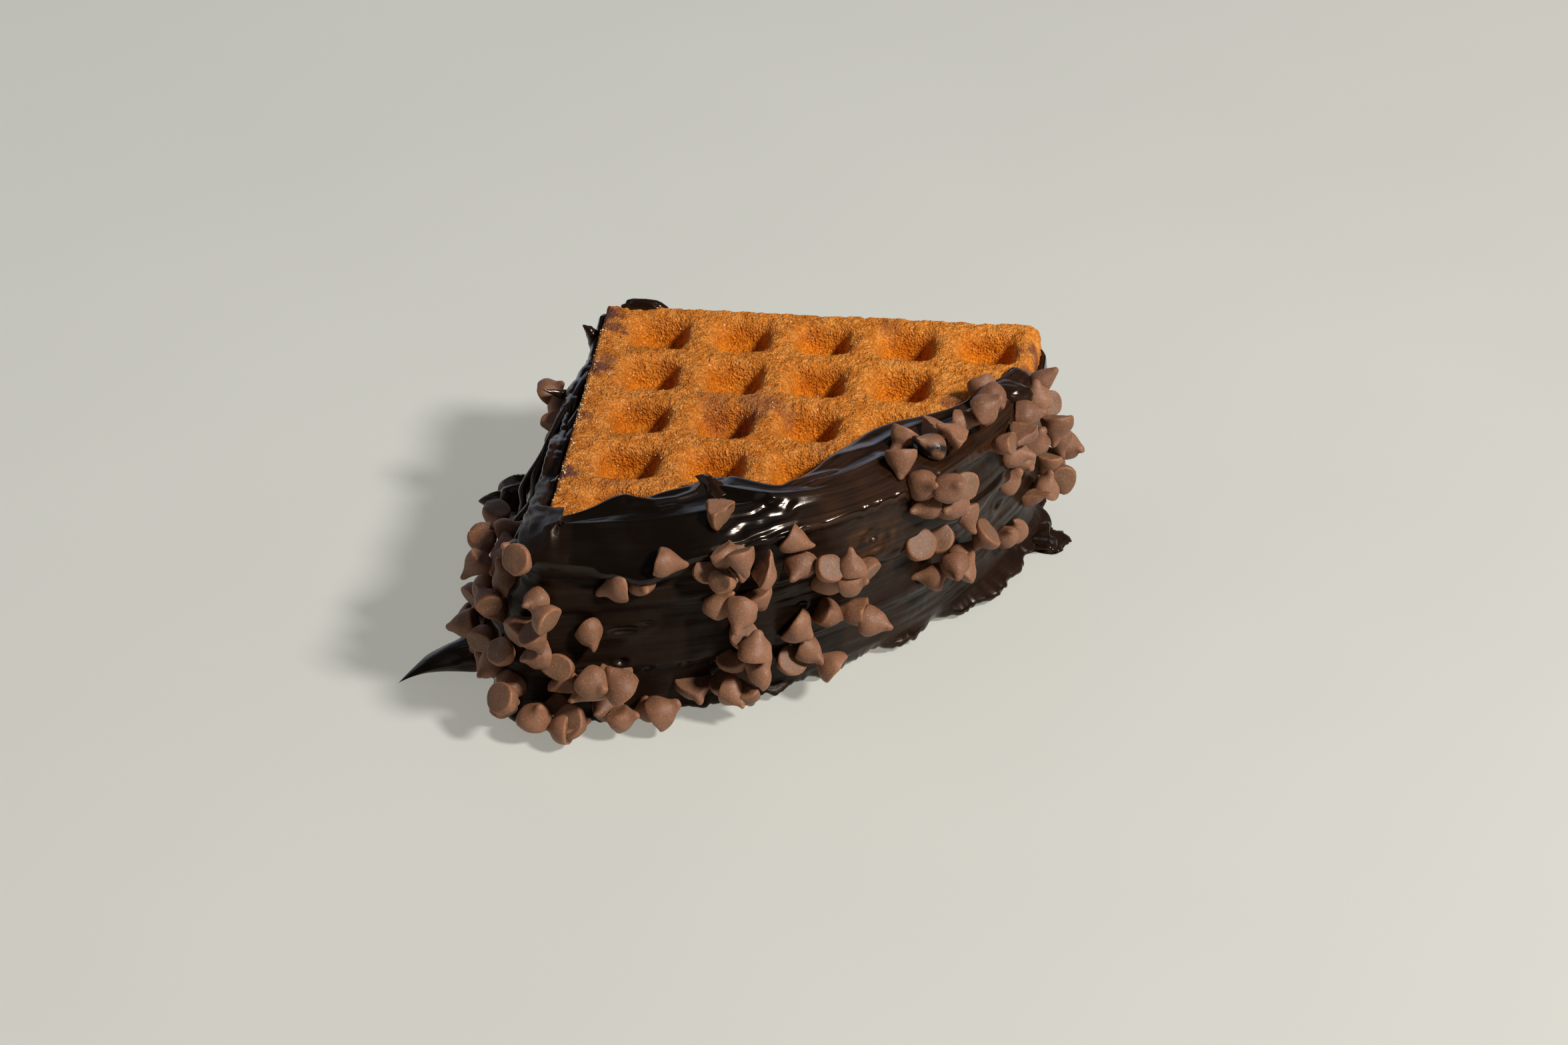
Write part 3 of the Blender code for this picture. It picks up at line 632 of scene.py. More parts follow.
class Track:
    """The closed outline of the quarter, clockwise seen from above, from the end of the back edge.

    It runs along the rim, the left edge and the back edge, drawn in by the corner's rounding. A station is a
    length along it.
    """

    def __init__(self, stack: Stack, corner: float = 3 * MM, usual: float = 2 * MM) -> None:
        """Works out where each stretch begins.

        Args:
            stack: the layers' sizes.
            corner: the corner's rounding.
            usual: the coat's usual thickness, which sets the corners' share of the length.
        """
        self.corner = corner
        self.rim = stack.radius - corner
        self.lean = math.asin(corner / self.rim)
        self.arm = self.rim * math.cos(self.lean)
        drawn = corner + usual
        lengths = (
            (self.rim + drawn) * (QUARTER - 2 * self.lean),
            drawn * (QUARTER + self.lean),
            self.arm - corner,
            drawn * QUARTER,
            self.arm - corner,
            drawn * (QUARTER + self.lean),
        )
        self.breaks = np.concatenate([[0], np.cumsum(lengths)])
        self.length = float(self.breaks[-1])
        turns = (0, QUARTER - 2 * self.lean, QUARTER + self.lean, 0, QUARTER, 0, QUARTER + self.lean)
        self.turns = self.lean + np.cumsum(turns)

    def rim_at(self, degrees: float) -> float:
        """The station of a turn on the rim, 0 at the back edge and 90 at the left edge."""
        return float(np.interp(math.radians(degrees), self.turns[:2], self.breaks[:2]))

    def left_at(self, forward: float) -> float:
        """The station on the left edge so many mm from the cut corner."""
        return float(self.breaks[2] + self.arm - forward * MM)

    def back_at(self, across: float) -> float:
        """The station on the back edge so many mm from the cut corner."""
        return float(self.breaks[4] + across * MM - self.corner)

    def station(self, side: Side, place: float) -> float:
        """The station of a place on one of the sides."""
        return {Side.RIM: self.rim_at, Side.LEFT: self.left_at, Side.BACK: self.back_at}[side](place)

    def at(self, station: Array) -> tuple[Array, Array]:
        """The drawn-in outline's points and unit vectors out.

        Formula: on the rim a point is the rim's radius times the vector out; elsewhere it lies on the straight
        edge, or stays at a corner while the vector out turns.

        Args:
            station: lengths along the outline.

        Returns:
            (across, forward) points and vectors, each of shape (..., 2).
        """
        station = np.mod(station, self.length)
        turn = np.interp(station, self.breaks, self.turns)
        ends = (self.arm, self.corner, self.corner, self.corner, self.corner, self.arm, self.arm)
        starts = (self.corner, self.arm, self.arm, self.corner, self.corner, self.corner, self.corner)
        across = np.interp(station, self.breaks, ends)
        forward = np.interp(station, self.breaks, starts)
        out = np.stack([np.cos(turn), np.sin(turn)], axis=-1)
        on_rim = station < self.breaks[1]
        return np.where(on_rim[..., None], self.rim * out, np.stack([across, forward], axis=-1)), out


# ---- waffle layers


class Looks(Enum):
    """Which way a layer's pockets face."""

    UP = 1
    DOWN = -1
    PLAIN = 0


@dataclass
class WaffleLayer:
    """One quarter of a baked waffle: a crumbly face with pockets, sides and a plain other face."""

    stack: Stack
    name: str
    node: str
    level: int
    looks: Looks
    cells: int
    side_rows: int = 16
    edge_rounding: float = 0.9 * MM
    rim_rounding: float = 3.4 * MM
    corner_rounding: float = 1.4 * MM
    pocket_norm: float = 3.6
    crumb: float = 0.23 * MM
    unevenness: float = 0.16 * MM
    side_bulge: float = 0.32 * MM
    underside_rounding: float = 2.2 * MM
    wall_wobble: float = 0.30 * MM
    size_spread: float = 0.045
    depth_spread: float = 0.10
    deepest: float = 5.0 * MM
    side_tone: float = 0.35
    tip_share: float = 0.42
    floor_gap: float = 0.05 * MM
    # A pocket's profile in mm: half width, and depth under the face
    profile: tuple[tuple[float, float], ...] = (
        (0.0, -5.7), (2.4, -5.9), (3.4, -5.7), (4.1, -4.9), (4.55, -3.4), (4.9, -2.0), (5.3, -1.0),
        (5.85, -0.38), (6.5, -0.1), (7.2, 0.0), (7.875, 0.0),
    )
    # Stains of spread that soaked in: across and forward in mm, radius in mm, and strength
    stains: tuple[tuple[float, float, float, float], ...] = (
        (1.2, 24.0, 3.4, 0.9), (2.6, 21.0, 2.2, 0.6), (0.8, 61.5, 3.0, 0.9), (2.8, 9.0, 2.6, 0.7),
        (1.2, 4.0, 3.6, 0.95), (25.0, 34.2, 4.2, 0.34), (33.0, 34.6, 5.0, 0.52), (38.0, 36.0, 2.6, 0.40),
        (68.4, 31.3, 2.2, 0.6), (1.0, 42.0, 2.0, 0.6), (84.0, 10.0, 3.0, 0.75), (83.0, 17.0, 3.0, 0.7),
        (55.0, 2.5, 2.4, 0.3), (10.0, 64.0, 3.0, 0.25), (47.0, 49.5, 2.6, 0.3), (4.7, 10.8, 0.9, 0.8),
    )

    @property
    def bottom(self) -> float:
        """The height of the layer's lower face."""
        return self.level * (self.stack.layer + self.stack.spread)

    def plan(self) -> tuple[Array, Array]:
        """The (across, forward) grid of the face.

        Formula: the unit square's (u, v) goes to (u sqrt(1 - v^2/2), v sqrt(1 - u^2/2)) times the radius, which
        fills the quarter disc; near the cut corner the square's corner is drawn to a circle.

        Returns:
            Across and forward at each point of the grid.
        """
        lines = np.linspace(0, 1, self.cells + 1)
        u, v = np.meshgrid(lines, lines, indexing="ij")
        across = self.stack.radius * u * np.sqrt(1 - v * v / 2)
        forward = self.stack.radius * v * np.sqrt(1 - u * u / 2)
        round_to = self.corner_rounding
        dx, dy = np.minimum(across - round_to, 0), np.minimum(forward - round_to, 0)
        reach = np.hypot(dx, dy)
        square = np.maximum(-dx, -dy)
        share = np.where((dx < 0) & (dy < 0), square / np.maximum(reach, TINY), 1.0)
        across = np.where(dx < 0, round_to + dx * share, across)
        return across, np.where(dy < 0, round_to + dy * share, forward)

    def edge_drop(self, across: Array, forward: Array) -> Array:
        """How far the face has fallen towards its outline: a quarter circle of the edge's rounding.

        Args:
            across: lengths to the right of the cut corner.
            forward: lengths to the front of it.

        Returns:
            The drop in metres at each place.
        """
        gaps = (
            (across, self.edge_rounding),
            (forward, self.edge_rounding),
            (self.stack.radius - np.hypot(across, forward), self.rim_rounding),
        )
        drop = np.zeros_like(across)
        for gap, rounding in gaps:
            inside = np.clip(rounding - gap, 0, rounding)
            drop = np.maximum(drop, rounding - np.sqrt(rounding**2 - inside**2))
        return drop

    def sunk(self, across: Array, forward: Array) -> tuple[Array, Array, Array]:
        """Draws the grid into the pockets.

        Formula: a point's distance from its pocket's middle is measured by a superellipse norm. That distance is
        read as a length along the pocket's profile, which gives the new distance and the depth.

        Args:
            across: lengths to the right of the cut corner.
            forward: lengths to the front of it.

        Returns:
            The moved across and forward, and the depth (negative) at each point.
        """
        profile = np.array(self.profile) * MM
        run = np.concatenate([[0], np.cumsum(np.hypot(*np.diff(profile, axis=0).T))])
        run *= profile[-1, 0] / run[-1]
        first, pitch = self.stack.first_pocket, self.stack.pitch
        column = np.rint((across - first[0]) / pitch).astype(int)
        row = np.rint((forward - first[1]) / pitch).astype(int)
        counts = np.array(self.stack.pocket_rows + (0,))
        known = (row >= 0) & (column >= 0) & (row < len(counts))
        there = known & (column < counts[np.clip(row, 0, len(counts) - 1)])
        cell = np.stack([column, row], axis=-1)
        size = 1 + self.size_spread * (2 * hashed(cell, 5) - 1)
        depth_share = 1 + self.depth_spread * (2 * hashed(cell, 6) - 1)
        dx = across - first[0] - column * pitch
        dy = forward - first[1] - row * pitch
        power = self.pocket_norm
        far = (np.abs(dx) ** power + np.abs(dy) ** power) ** (1 / power)
        wobble = self.wall_wobble * smooth_noise(pair(across, forward) / (3.2 * MM), 9)
        read = np.clip((far + wobble) / size, 0, profile[-1, 0])
        near = np.interp(read, run, profile[:, 0])
        depth = np.interp(read, run, profile[:, 1]) * depth_share
        inside = there & (far < profile[-1, 0])
        pull = np.where(inside, (near - read + far) / np.maximum(far, TINY), 1.0)
        blend = smooth_step(far, profile[-1, 0], profile[-1, 0] * 0.9)
        pull = 1 + (pull - 1) * np.where(inside, blend, 0)
        moved_across = first[0] + column * pitch + dx * pull
        moved_forward = first[1] + row * pitch + dy * pull
        return (
            np.where(inside, moved_across, across),
            np.where(inside, moved_forward, forward),
            np.where(inside, depth, 0.0),
        )

    def rough(self, across: Array, forward: Array, height: Array) -> Array:
        """The crumb's relief at places: fine layered noise and a slow unevenness, in metres."""
        at = np.stack([across, forward, height], axis=-1)
        fine = self.crumb * rough_noise(at / (0.95 * MM), 21 + self.level, 2)
        return fine + self.unevenness * rough_noise(at / (5.5 * MM), 31 + self.level, 2)

    def rim_loop(self, grid: Array) -> Array:
        """The values of a grid along its outline, once round."""
        return np.concatenate([grid[:-1, 0], grid[-1, :-1], grid[:0:-1, -1], grid[0, :0:-1]])

    def build(self, finish: bpy.types.Material) -> bpy.types.Object:
        """Makes the layer's mesh and dresses it.

        Formula: the face is the plan's grid, its pockets drawn in. The side is rows under the face's outline,
        bulged by noise times the root of a sine, and its last row is joined to one hidden point below.

        Args:
            finish: the crumb's material.

        Returns:
            The finished piece.
        """
        across, forward = self.plan()
        drop = self.edge_drop(across, forward)
        depth = np.zeros_like(across)
        sunk_across, sunk_forward = across, forward
        if self.looks is not Looks.PLAIN:
            sunk_across, sunk_forward, depth = self.sunk(across, forward)
        face = self.stack.layer - drop + depth + self.rough(sunk_across, sunk_forward, depth)
        count = self.cells + 1
        loop_across, loop_forward = self.rim_loop(across), self.rim_loop(forward)
        loop_top, loop_drop = self.rim_loop(face), self.rim_loop(drop)
        turn = np.arctan2(loop_forward, loop_across)
        on_rim = np.hypot(loop_across, loop_forward) > self.stack.radius - 0.2 * MM
        cut = 0.001 * MM
        side = pair(np.where(loop_across < cut, -1.0, 0.0), np.where(loop_forward < cut, -1.0, 0.0))
        out = np.where(on_rim[:, None], pair(np.cos(turn), np.sin(turn)), side)
        share = np.linspace(0, 1, self.side_rows + 1)[1:, None]
        under = np.minimum(loop_drop, self.underside_rounding)
        height = loop_top + (under - loop_top) * share
        inset = under * np.clip((share - 0.9) / 0.1, 0, 1) ** 2
        at = np.stack(np.broadcast_arrays(loop_across, loop_forward, height), axis=-1)
        bulge = self.side_bulge * rough_noise(at / (1.3 * MM), 41 + self.level, 3)
        bulge = bulge * np.sin(share * math.pi) ** 0.5
        shift = (bulge - inset)[..., None] * out
        rows_across = loop_across + shift[..., 0]
        rows_forward = loop_forward + shift[..., 1]
        middle = np.array([[self.tip_share * self.stack.radius] * 2 + [0.0]])
        places = np.concatenate([
            np.stack([sunk_across, sunk_forward, face], axis=-1).reshape(-1, 3),
            np.stack([rows_across, rows_forward, height], axis=-1).reshape(-1, 3),
            middle,
        ])
        number = np.arange(count * count).reshape(count, count)
        quads = np.stack([number[:-1, :-1], number[1:, :-1], number[1:, 1:], number[:-1, 1:]], axis=-1)
        faces = quads.reshape(-1, 4).tolist()
        loop = self.rim_loop(number)
        starts = count * count + np.arange(self.side_rows) * len(loop)
        rings = [loop] + [start + np.arange(len(loop)) for start in starts]
        for upper, lower in zip(rings, rings[1:]):
            after, below = np.roll(upper, -1), np.roll(lower, -1)
            faces += np.stack([upper, lower, below, after], axis=-1).tolist()
        last, tip = rings[-1], len(places) - 1
        faces += np.stack([last, np.full(len(last), tip), np.roll(last, -1)], axis=-1).tolist()
        return self.finish(places, faces, depth, finish)

    def finish(self, places: Array, faces: list, depth: Array, finish: bpy.types.Material) -> bpy.types.Object:
        """Turns the layer the right way up, puts it in its place, and paints its depths and stains.

        Args:
            places: (across, forward, height over the lower face) of each vertex.
            faces: the body's faces.
            depth: the face grid's depth in its pockets.
            finish: the crumb's material.

        Returns:
            The finished piece.
        """
        shift = self.stack.shifts[self.level]
        height = self.stack.layer - places[:, 2] if self.looks is Looks.DOWN else places[:, 2]
        height = np.maximum(self.bottom + height, self.floor_gap)
        points = self.stack.world(places[:, 0] - shift, places[:, 1] - shift, height)
        piece = make_mesh(self.name, points, faces)
        depths = np.zeros(len(places))
        depths[: depth.size] = np.clip(-depth.ravel() / self.deepest, 0, 1)
        depths[depth.size:] = self.side_tone
        paint(piece, "depth", depths)
        paint(piece, "stain", self.stained(places))
        piece.data.materials.append(finish)
        settle(piece, WAFFLE_SLOT, self.node)
        return piece

    def stained(self, places: Array) -> Array:
        """How much spread has soaked in at each place: round spots with ragged edges, and the side's lower half.

        Args:
            places: (across, forward, height over the lower face) of each vertex.

        Returns:
            Shares from 0 to 1.
        """
        ragged = 0.45 * rough_noise(places / (2.6 * MM), 51, 3)
        total = np.zeros(len(places))
        for across, forward, radius, strength in self.stains if self.level == 2 else ():
            away = np.hypot(places[:, 0] - across * MM, places[:, 1] - forward * MM) / (radius * MM)
            total = np.maximum(total, strength * smooth_step(away + ragged, 1.15, 0.45))
        side = smooth_step(places[:, 2], self.stack.layer * 0.75, self.stack.layer * 0.45)
        side[: (self.cells + 1) ** 2] = 0
        return np.clip(np.maximum(total, 0.75 * side * (0.8 + ragged)), 0, 1)


# ---- the coat of spread


@dataclass(frozen=True)
class Fold:
    """A fold that the knife left on top: a line of (across, forward) places in mm, from left to right.

    A positive step raises what lies inside the line, towards the cut corner, a negative one what lies outside.
    """

    line: Knots
    ridge: float = 0.0
    width: float = 1.0
    step: float = 0.0
    fade: float = 5.0


@dataclass(frozen=True)
class Pit:
    """A dent in the side's wall: its turn in degrees, height in mm, half length, half height and depth in mm."""

    turn: float
    height: float
    long: float
    high: float
    deep: float


FOLDS = (
    Fold(((25.8, 66.4), (28.2, 68.8), (30.4, 69.7), (33.1, 70.5), (36.2, 71.1), (39.2, 72.1), (41.7, 73.5),
          (44.2, 75.4)), ridge=0.35, width=0.6, step=1.5, fade=6.0),
    Fold(((2.0, 76.8), (8.4, 74.6), (13.5, 72.8), (18.5, 73.0), (22.4, 71.6), (25.2, 69.6), (26.3, 67.0),
          (25.0, 65.0)), ridge=0.75, width=1.1, step=-1.1, fade=4.5),
    Fold(((10.0, 76.5), (15.0, 75.0), (20.0, 75.2), (24.0, 73.6)), ridge=0.35, width=0.8),
    Fold(((44.0, 60.0), (50.0, 55.0), (56.0, 50.0), (61.0, 44.0), (66.0, 39.0)), ridge=0.5, width=1.3),
    Fold(((43.0, 66.0), (48.0, 63.5), (53.0, 60.0), (57.0, 56.0), (60.0, 52.5)), ridge=0.45, width=0.8, step=0.7,
         fade=3.0),
    Fold(((40.0, 65.5), (45.0, 62.8), (50.5, 59.0)), ridge=0.4, width=0.6),
)

PITS = (
    Pit(84.0, 13.3, 2.2, 0.9, 1.0), Pit(76.5, 12.4, 0.9, 0.8, 0.9), Pit(79.6, 21.5, 2.8, 0.7, 0.8),
    Pit(77.0, 22.4, 1.4, 0.5, 0.6), Pit(72.0, 12.8, 1.2, 0.8, 0.9), Pit(68.2, 11.4, 0.8, 0.7, 0.7),
    Pit(80.0, 15.2, 1.0, 0.6, 0.7), Pit(52.6, 29.0, 1.4, 0.8, 0.6), Pit(49.0, 31.5, 1.1, 0.6, 0.6),
    Pit(24.0, 20.0, 1.6, 0.8, 0.7), Pit(58.0, 21.0, 1.2, 0.7, 0.6),
)


# The coat's driving sizes in mm at places on each side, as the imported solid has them
KNOTS: dict[str, dict[Side, Knots]] = {
    "low": {
        Side.RIM: ((3.6, 2.6), (11.3, 4.2), (20.9, 2.4), (47.7, 1.9), (73.5, 2.0), (86, 3.0)),
        Side.LEFT: ((80, 7.5), (72, 9.0), (57, 10.5), (43, 11.0), (32, 9.5), (19, 4.5), (8, 2.8)),
        Side.BACK: ((8, 2.4), (42, 3.2), (77, 2.4)),
    },
    "middle": {
        Side.RIM: ((3.6, 2.2), (13.2, 3.0), (30.4, 2.4), (49.6, 2.2), (84.1, 2.6)),
        Side.LEFT: ((80, 7.0), (72, 9.0), (58, 9.0), (46, 8.0), (33, 5.5), (20, 3.6), (8, 2.8)),
        Side.BACK: ((8, 2.4), (46, 3.0), (77, 2.2)),
    },
    "high": {
        Side.RIM: ((3.6, 1.6), (15.1, 2.6), (40, 2.3), (68.7, 2.0), (86, 2.2)),
        Side.LEFT: ((78, 5.0), (66, 4.6), (50, 4.0), (36, 4.0), (26, 4.8), (14, 3.0), (6, 2.4)),
        Side.BACK: ((6, 2.0), (42, 1.8), (77, 1.4)),
    },
    "reach": {
        Side.RIM: ((4.6, 1.0), (15.1, 3.0), (18, 5.1), (26.6, 7.4), (34.3, 13.6), (39.1, 15.0), (46.7, 12.8),
            (52.1, 10.2), (56.6, 8.4), (58.7, 7.8), (60.5, 8.4), (61.7, 10.4), (63.1, 13.2), (65.5, 15.4),
            (68, 15.4), (70.2, 14.1), (74.4, 13.6), (76.5, 11.8), (80.1, 10.9), (84.1, 8.6), (87.5, 7.0)),
        Side.LEFT: ((80, 3.0), (77, 2.4), (70, 2.0)),
    },
    "smeared": {
        Side.RIM: ((6.5, 0.0), (15.1, 0.9), (20.9, 1.0), (85, 1.0)),
        Side.LEFT: ((77, 1.0), (73.5, 0.2), (71.5, 0.0)),
        Side.BACK: ((79, 0.0),),
    },
    "lip": {
        Side.RIM: ((5.5, 34.0), (20.9, 37.0), (49.6, 38.0), (61.1, 38.6), (70.7, 37.4), (78.3, 33.9), (85, 36.4)),
        Side.LEFT: ((76, 37.5), (60, 35.0)),
    },
    "lip_out": {
        Side.RIM: ((5.5, 1.8), (20.9, 2.6), (47.7, 2.4), (57.3, 3.0), (66.8, 3.5), (78.3, 4.1)),
        Side.LEFT: ((76, 3.6), (60, 3.0)),
    },
    "rim_fold": {
        Side.RIM: ((5.5, 0.8), (20.9, 1.3), (44.8, 1.2), (54.4, 1.6), (63, 2.8), (68.7, 2.2), (76.4, 1.0)),
        Side.LEFT: ((81, 1.9), (75, 1.9), (60, 0.8)),
    },
    "inner_fold": {
        Side.RIM: ((5.5, 0.8), (22.8, 1.0), (40, 1.1), (54.4, 1.1), (64.9, 1.3), (72.6, 0.9), (82.2, 0.8)),
        Side.LEFT: ((76, 0.8), (60, 0.8)),
    },
    "apron": {
        Side.RIM: ((3, 2.5), (8, 5.0), (12, 4.4), (18, 3.0), (23, 4.6), (27.5, 4.2), (31, 0.4), (48, 0.0),
            (58, 0.8), (62, 1.6), (68, 0.0), (84, 0.4)),
        Side.LEFT: ((72, 1.2), (50, 0.5), (20, 0.4)),
        Side.BACK: ((30, 0.3), (70, 0.6)),
    },
    "foot": {
        Side.RIM: ((5.5, 0.4), (30.4, 0.7), (43.8, 1.2), (51.5, 0.5), (59.2, 1.3), (76.4, 1.0), (84.1, 0.4)),
        Side.LEFT: ((60, 0.2), (20, 0.3)),
        Side.BACK: ((20, 0.5), (60, 0.9)),
    },
    "brim": {
        Side.RIM: ((5.5, 34.5), (20.9, 38.0)),
        Side.LEFT: ((78, 38.0), (60, 36.4), (40, 36.8), (24, 35.0), (10, 36.4), (2, 38.6)),
        Side.BACK: ((4, 38.8), (14, 37.0), (45, 35.2), (70, 36.4)),
    },
    "smear_edge": {
        Side.RIM: ((5.5, 0.9), (22.8, 1.3), (38, 1.4), (50, 1.8), (57, 1.3), (63, 1.9), (67, 2.4), (69, 1.8),
            (78, 1.7), (84, 1.5)),
        Side.LEFT: ((76, 1.3), (60, 0.9)),
    },
    "gap": {
        Side.RIM: ((2, -2.6), (88, -2.6)),
        Side.LEFT: ((76, -2.0), (70, 0.8), (63, 1.2), (53, 1.5), (41, 1.6), (29, 2.0), (17, 1.5), (10, 0.8),
            (5, -2.0)),
        Side.BACK: ((40, -2.6),),
    },
}


class CoatShape:
    """Where the coat's surface runs: the driving sizes, its rows from the foot up, and its folds and streaks."""

    foot_undercut = 0.5 * MM
    foot_edge = 1.4 * MM
    core_depth = 3 * MM
    upper_core = 31 * MM
    side_heights = (7 * MM, 12.9 * MM, 18 * MM, 22.5 * MM, 27.1 * MM, 30.5 * MM)
    seam_bulge = 0.7 * MM
    seam_half_height = 1.8 * MM
    wave = 0.35 * MM
    rim_rows = ((-0.9, -0.7, 0.7), (-3.4, 0.0, 1.0))
    brim_rows = ((1.0, -4.2), (0.95, -2.6), (0.85, -1.2), (0.6, 0.0), (0.25, -0.2))
    brim_back_rows = ((-0.6, -1.2), (-1.2, -2.0), (-1.8, -2.8))
    # Steps between each control row and the next, and along the hidden way back down
    steps = (2, 5, 6, 8, 12, 12, 10, 11, 9, 10, 8, 6, 8, 8, 18, 13, 5, 2)
    smoothing = 2.5 * MM
    samples = 512

    def __init__(self, stack: Stack) -> None:
        """Keeps the stack's sizes and its outline."""
        self.stack = stack
        self.track = Track(stack)

    def knots(self) -> dict[str, Knots]:
        """The coat's driving sizes by name.

        Returns:
            For each name the stations and the sizes there in mm.
        """
        found = {}
        for name, sides in KNOTS.items():
            knots = [(self.track.station(side, place), size) for side, row in sides.items() for place, size in row]
            found[name] = tuple(knots)
        return found

    def curve(self, knots: Knots, station: Array) -> Array:
        """A closed curve through knots, blurred a little.

        Formula: straight lines between the knots at even samples, times a Gaussian in frequency.

        Args:
            knots: stations and the values there.
            station: where the curve is read.

        Returns:
            The curve's values.
        """
        places, values = np.array(sorted(knots)).T
        step = self.track.length / self.samples
        samples = np.arange(self.samples) * step
        drawn = np.interp(samples, places, values, period=self.track.length)
        waves = 2 * math.pi * np.fft.fftfreq(self.samples, step)
        blurred = np.fft.ifft(np.fft.fft(drawn) * np.exp(-((waves * self.smoothing) ** 2) / 2)).real
        return np.interp(station, samples, blurred, period=self.track.length)

    def side_row(self, sizes: dict[str, Array], station: Array, height: float) -> Array:
        """How far the wall stands out at a height: thickness, the seams' bulges and slight waves.

        Args:
            sizes: the named curves' values in metres.
            station: the stations that they belong to.
            height: the row's height.

        Returns:
            Distances out from the stack's side.
        """
        halfway, upper = self.side_heights[2], self.side_heights[-1]
        low, middle, high = sizes["low"], sizes["middle"], sizes["high"]
        if height < halfway:
            thickness = low + (middle - low) * height / halfway
        else:
            thickness = middle + (high - middle) * (height - halfway) / (upper - halfway)
        waves = np.sin(station / (9 * MM) + height / (5 * MM)) * np.sin(station / (23 * MM) - height / (8 * MM))
        bulge = sum(mound(height, seam, self.seam_half_height) for seam in self.stack.seams)
        return thickness + self.wave * waves + self.seam_bulge * bulge

    def control(self, station: Array) -> tuple[Array, Array]:
        """The control rows from the foot up, blended between the smear's way over the rim and the open brim.

        Args:
            station: where the rows are read.

        Returns:
            Distances out from the side and heights, each (rows, stations).
        """
        sizes = {name: self.curve(knots, station) * MM for name, knots in self.knots().items()}
        smeared = smooth_step(sizes["smeared"] / MM, 0.0, 0.8)
        foot, brim, lip, reach = sizes["foot"], sizes["brim"], sizes["lip"], sizes["reach"]
        low, high, apron, top = sizes["low"], sizes["high"], sizes["apron"], self.stack.top
        gap = sizes["gap"]
        rows = [
            (-self.core_depth, foot),
            (low + apron - self.foot_undercut, foot),
            (low + apron, foot + self.foot_edge),
            (low + apron * 0.3, 3.4 * MM),
        ]
        rows += [(self.side_row(sizes, station, height), height) for height in self.side_heights]
        over = [
            (high - 0.9 * MM, lip - 2.4 * MM),
            (sizes["lip_out"], lip - 0.4 * MM),
            (sizes["lip_out"] - 0.5 * MM, (top + lip) / 2),
        ]
        over += [(out * MM, top + rise * MM + share * sizes["rim_fold"]) for out, rise, share in self.rim_rows]
        over += [
            (-0.62 * reach, top + sizes["inner_fold"]),
            (0.5 * MM - reach, top + sizes["smear_edge"]),
            (-reach, top - 0.1 * MM),
            (-0.6 * MM - reach, self.upper_core),
        ]
        below = [(high * share, brim + rise * MM) for share, rise in self.brim_rows]
        below += [(np.maximum(out * MM, gap), brim + rise * MM) for out, rise in self.brim_back_rows]
        below.append((np.maximum(-2.6 * MM, gap), self.upper_core))
        for (out_over, height_over), (out_below, height_below) in zip(over, below):
            rows.append((
                smeared * out_over + (1 - smeared) * out_below,
                smeared * height_over + (1 - smeared) * height_below,
            ))
        out = np.array([row[0] + 0 * station for row in rows])
        height = np.array([row[1] + 0 * station for row in rows])
        return out, height

    def on_side(self, station: Array, out: Array, height: Array) -> Array:
        """The (across, forward, height) places at distances out from the side of the stack.

        Args:
            station: lengths along the outline.
            out: distances out from the side.
            height: heights over the resting face.

        Returns:
            Places of shape (..., 3).
        """
        point, away = self.track.at(station)
        place = point + (self.track.corner + out)[..., None] * away - self.stack.slide(height)[..., None]
        return np.stack([place[..., 0], place[..., 1], height + 0 * place[..., 0]], axis=-1)

    def fine_rows(self, station: Array) -> tuple[Array, Array, Array]:
        """The control rows drawn as one smooth line up each column.

        Formula: straight lines between the control rows, with the steps' count for each stretch, then blurred
        along the line by the weights 1, 2, 1 a few times.

        Args:
            station: the columns' stations.

        Returns:
            Distance out, height and the row's number among the control rows, each (fine rows, stations).
        """
        out, height = self.control(station)
        count = [np.linspace(row, row + 1, steps, endpoint=False) for row, steps in enumerate(self.steps)]
        number = np.concatenate(count + [[float(len(self.steps))]])
        whole = np.minimum(number.astype(int), len(self.steps) - 1)
        share = (number - whole)[:, None]
        out = out[whole] * (1 - share) + out[whole + 1] * share
        height = height[whole] * (1 - share) + height[whole + 1] * share
        for _ in range(6):
            out[1:-1] = (out[:-2] + 2 * out[1:-1] + out[2:]) / 4
            height[1:-1] = (height[:-2] + 2 * height[1:-1] + height[2:]) / 4
        return out, height, np.repeat(number[:, None], len(station), axis=1)

    def near(self, station: Array, first: float, last: float, soft: float) -> Array:
        """1 between two stations and 0 beyond them, with soft ends, going round the closed outline.

        Args:
            station: where it is read.
            first: one end.
            last: the other end.
            soft: the length over which it falls to 0 beyond each end.

        Returns:
            Shares from 0 to 1.
        """
        length = self.track.length
        middle, half = (first + last) / 2, abs(last - first) / 2
        away = np.abs(np.mod(station - middle + length / 2, length) - length / 2)
        return smooth_step(away, half + soft, half)

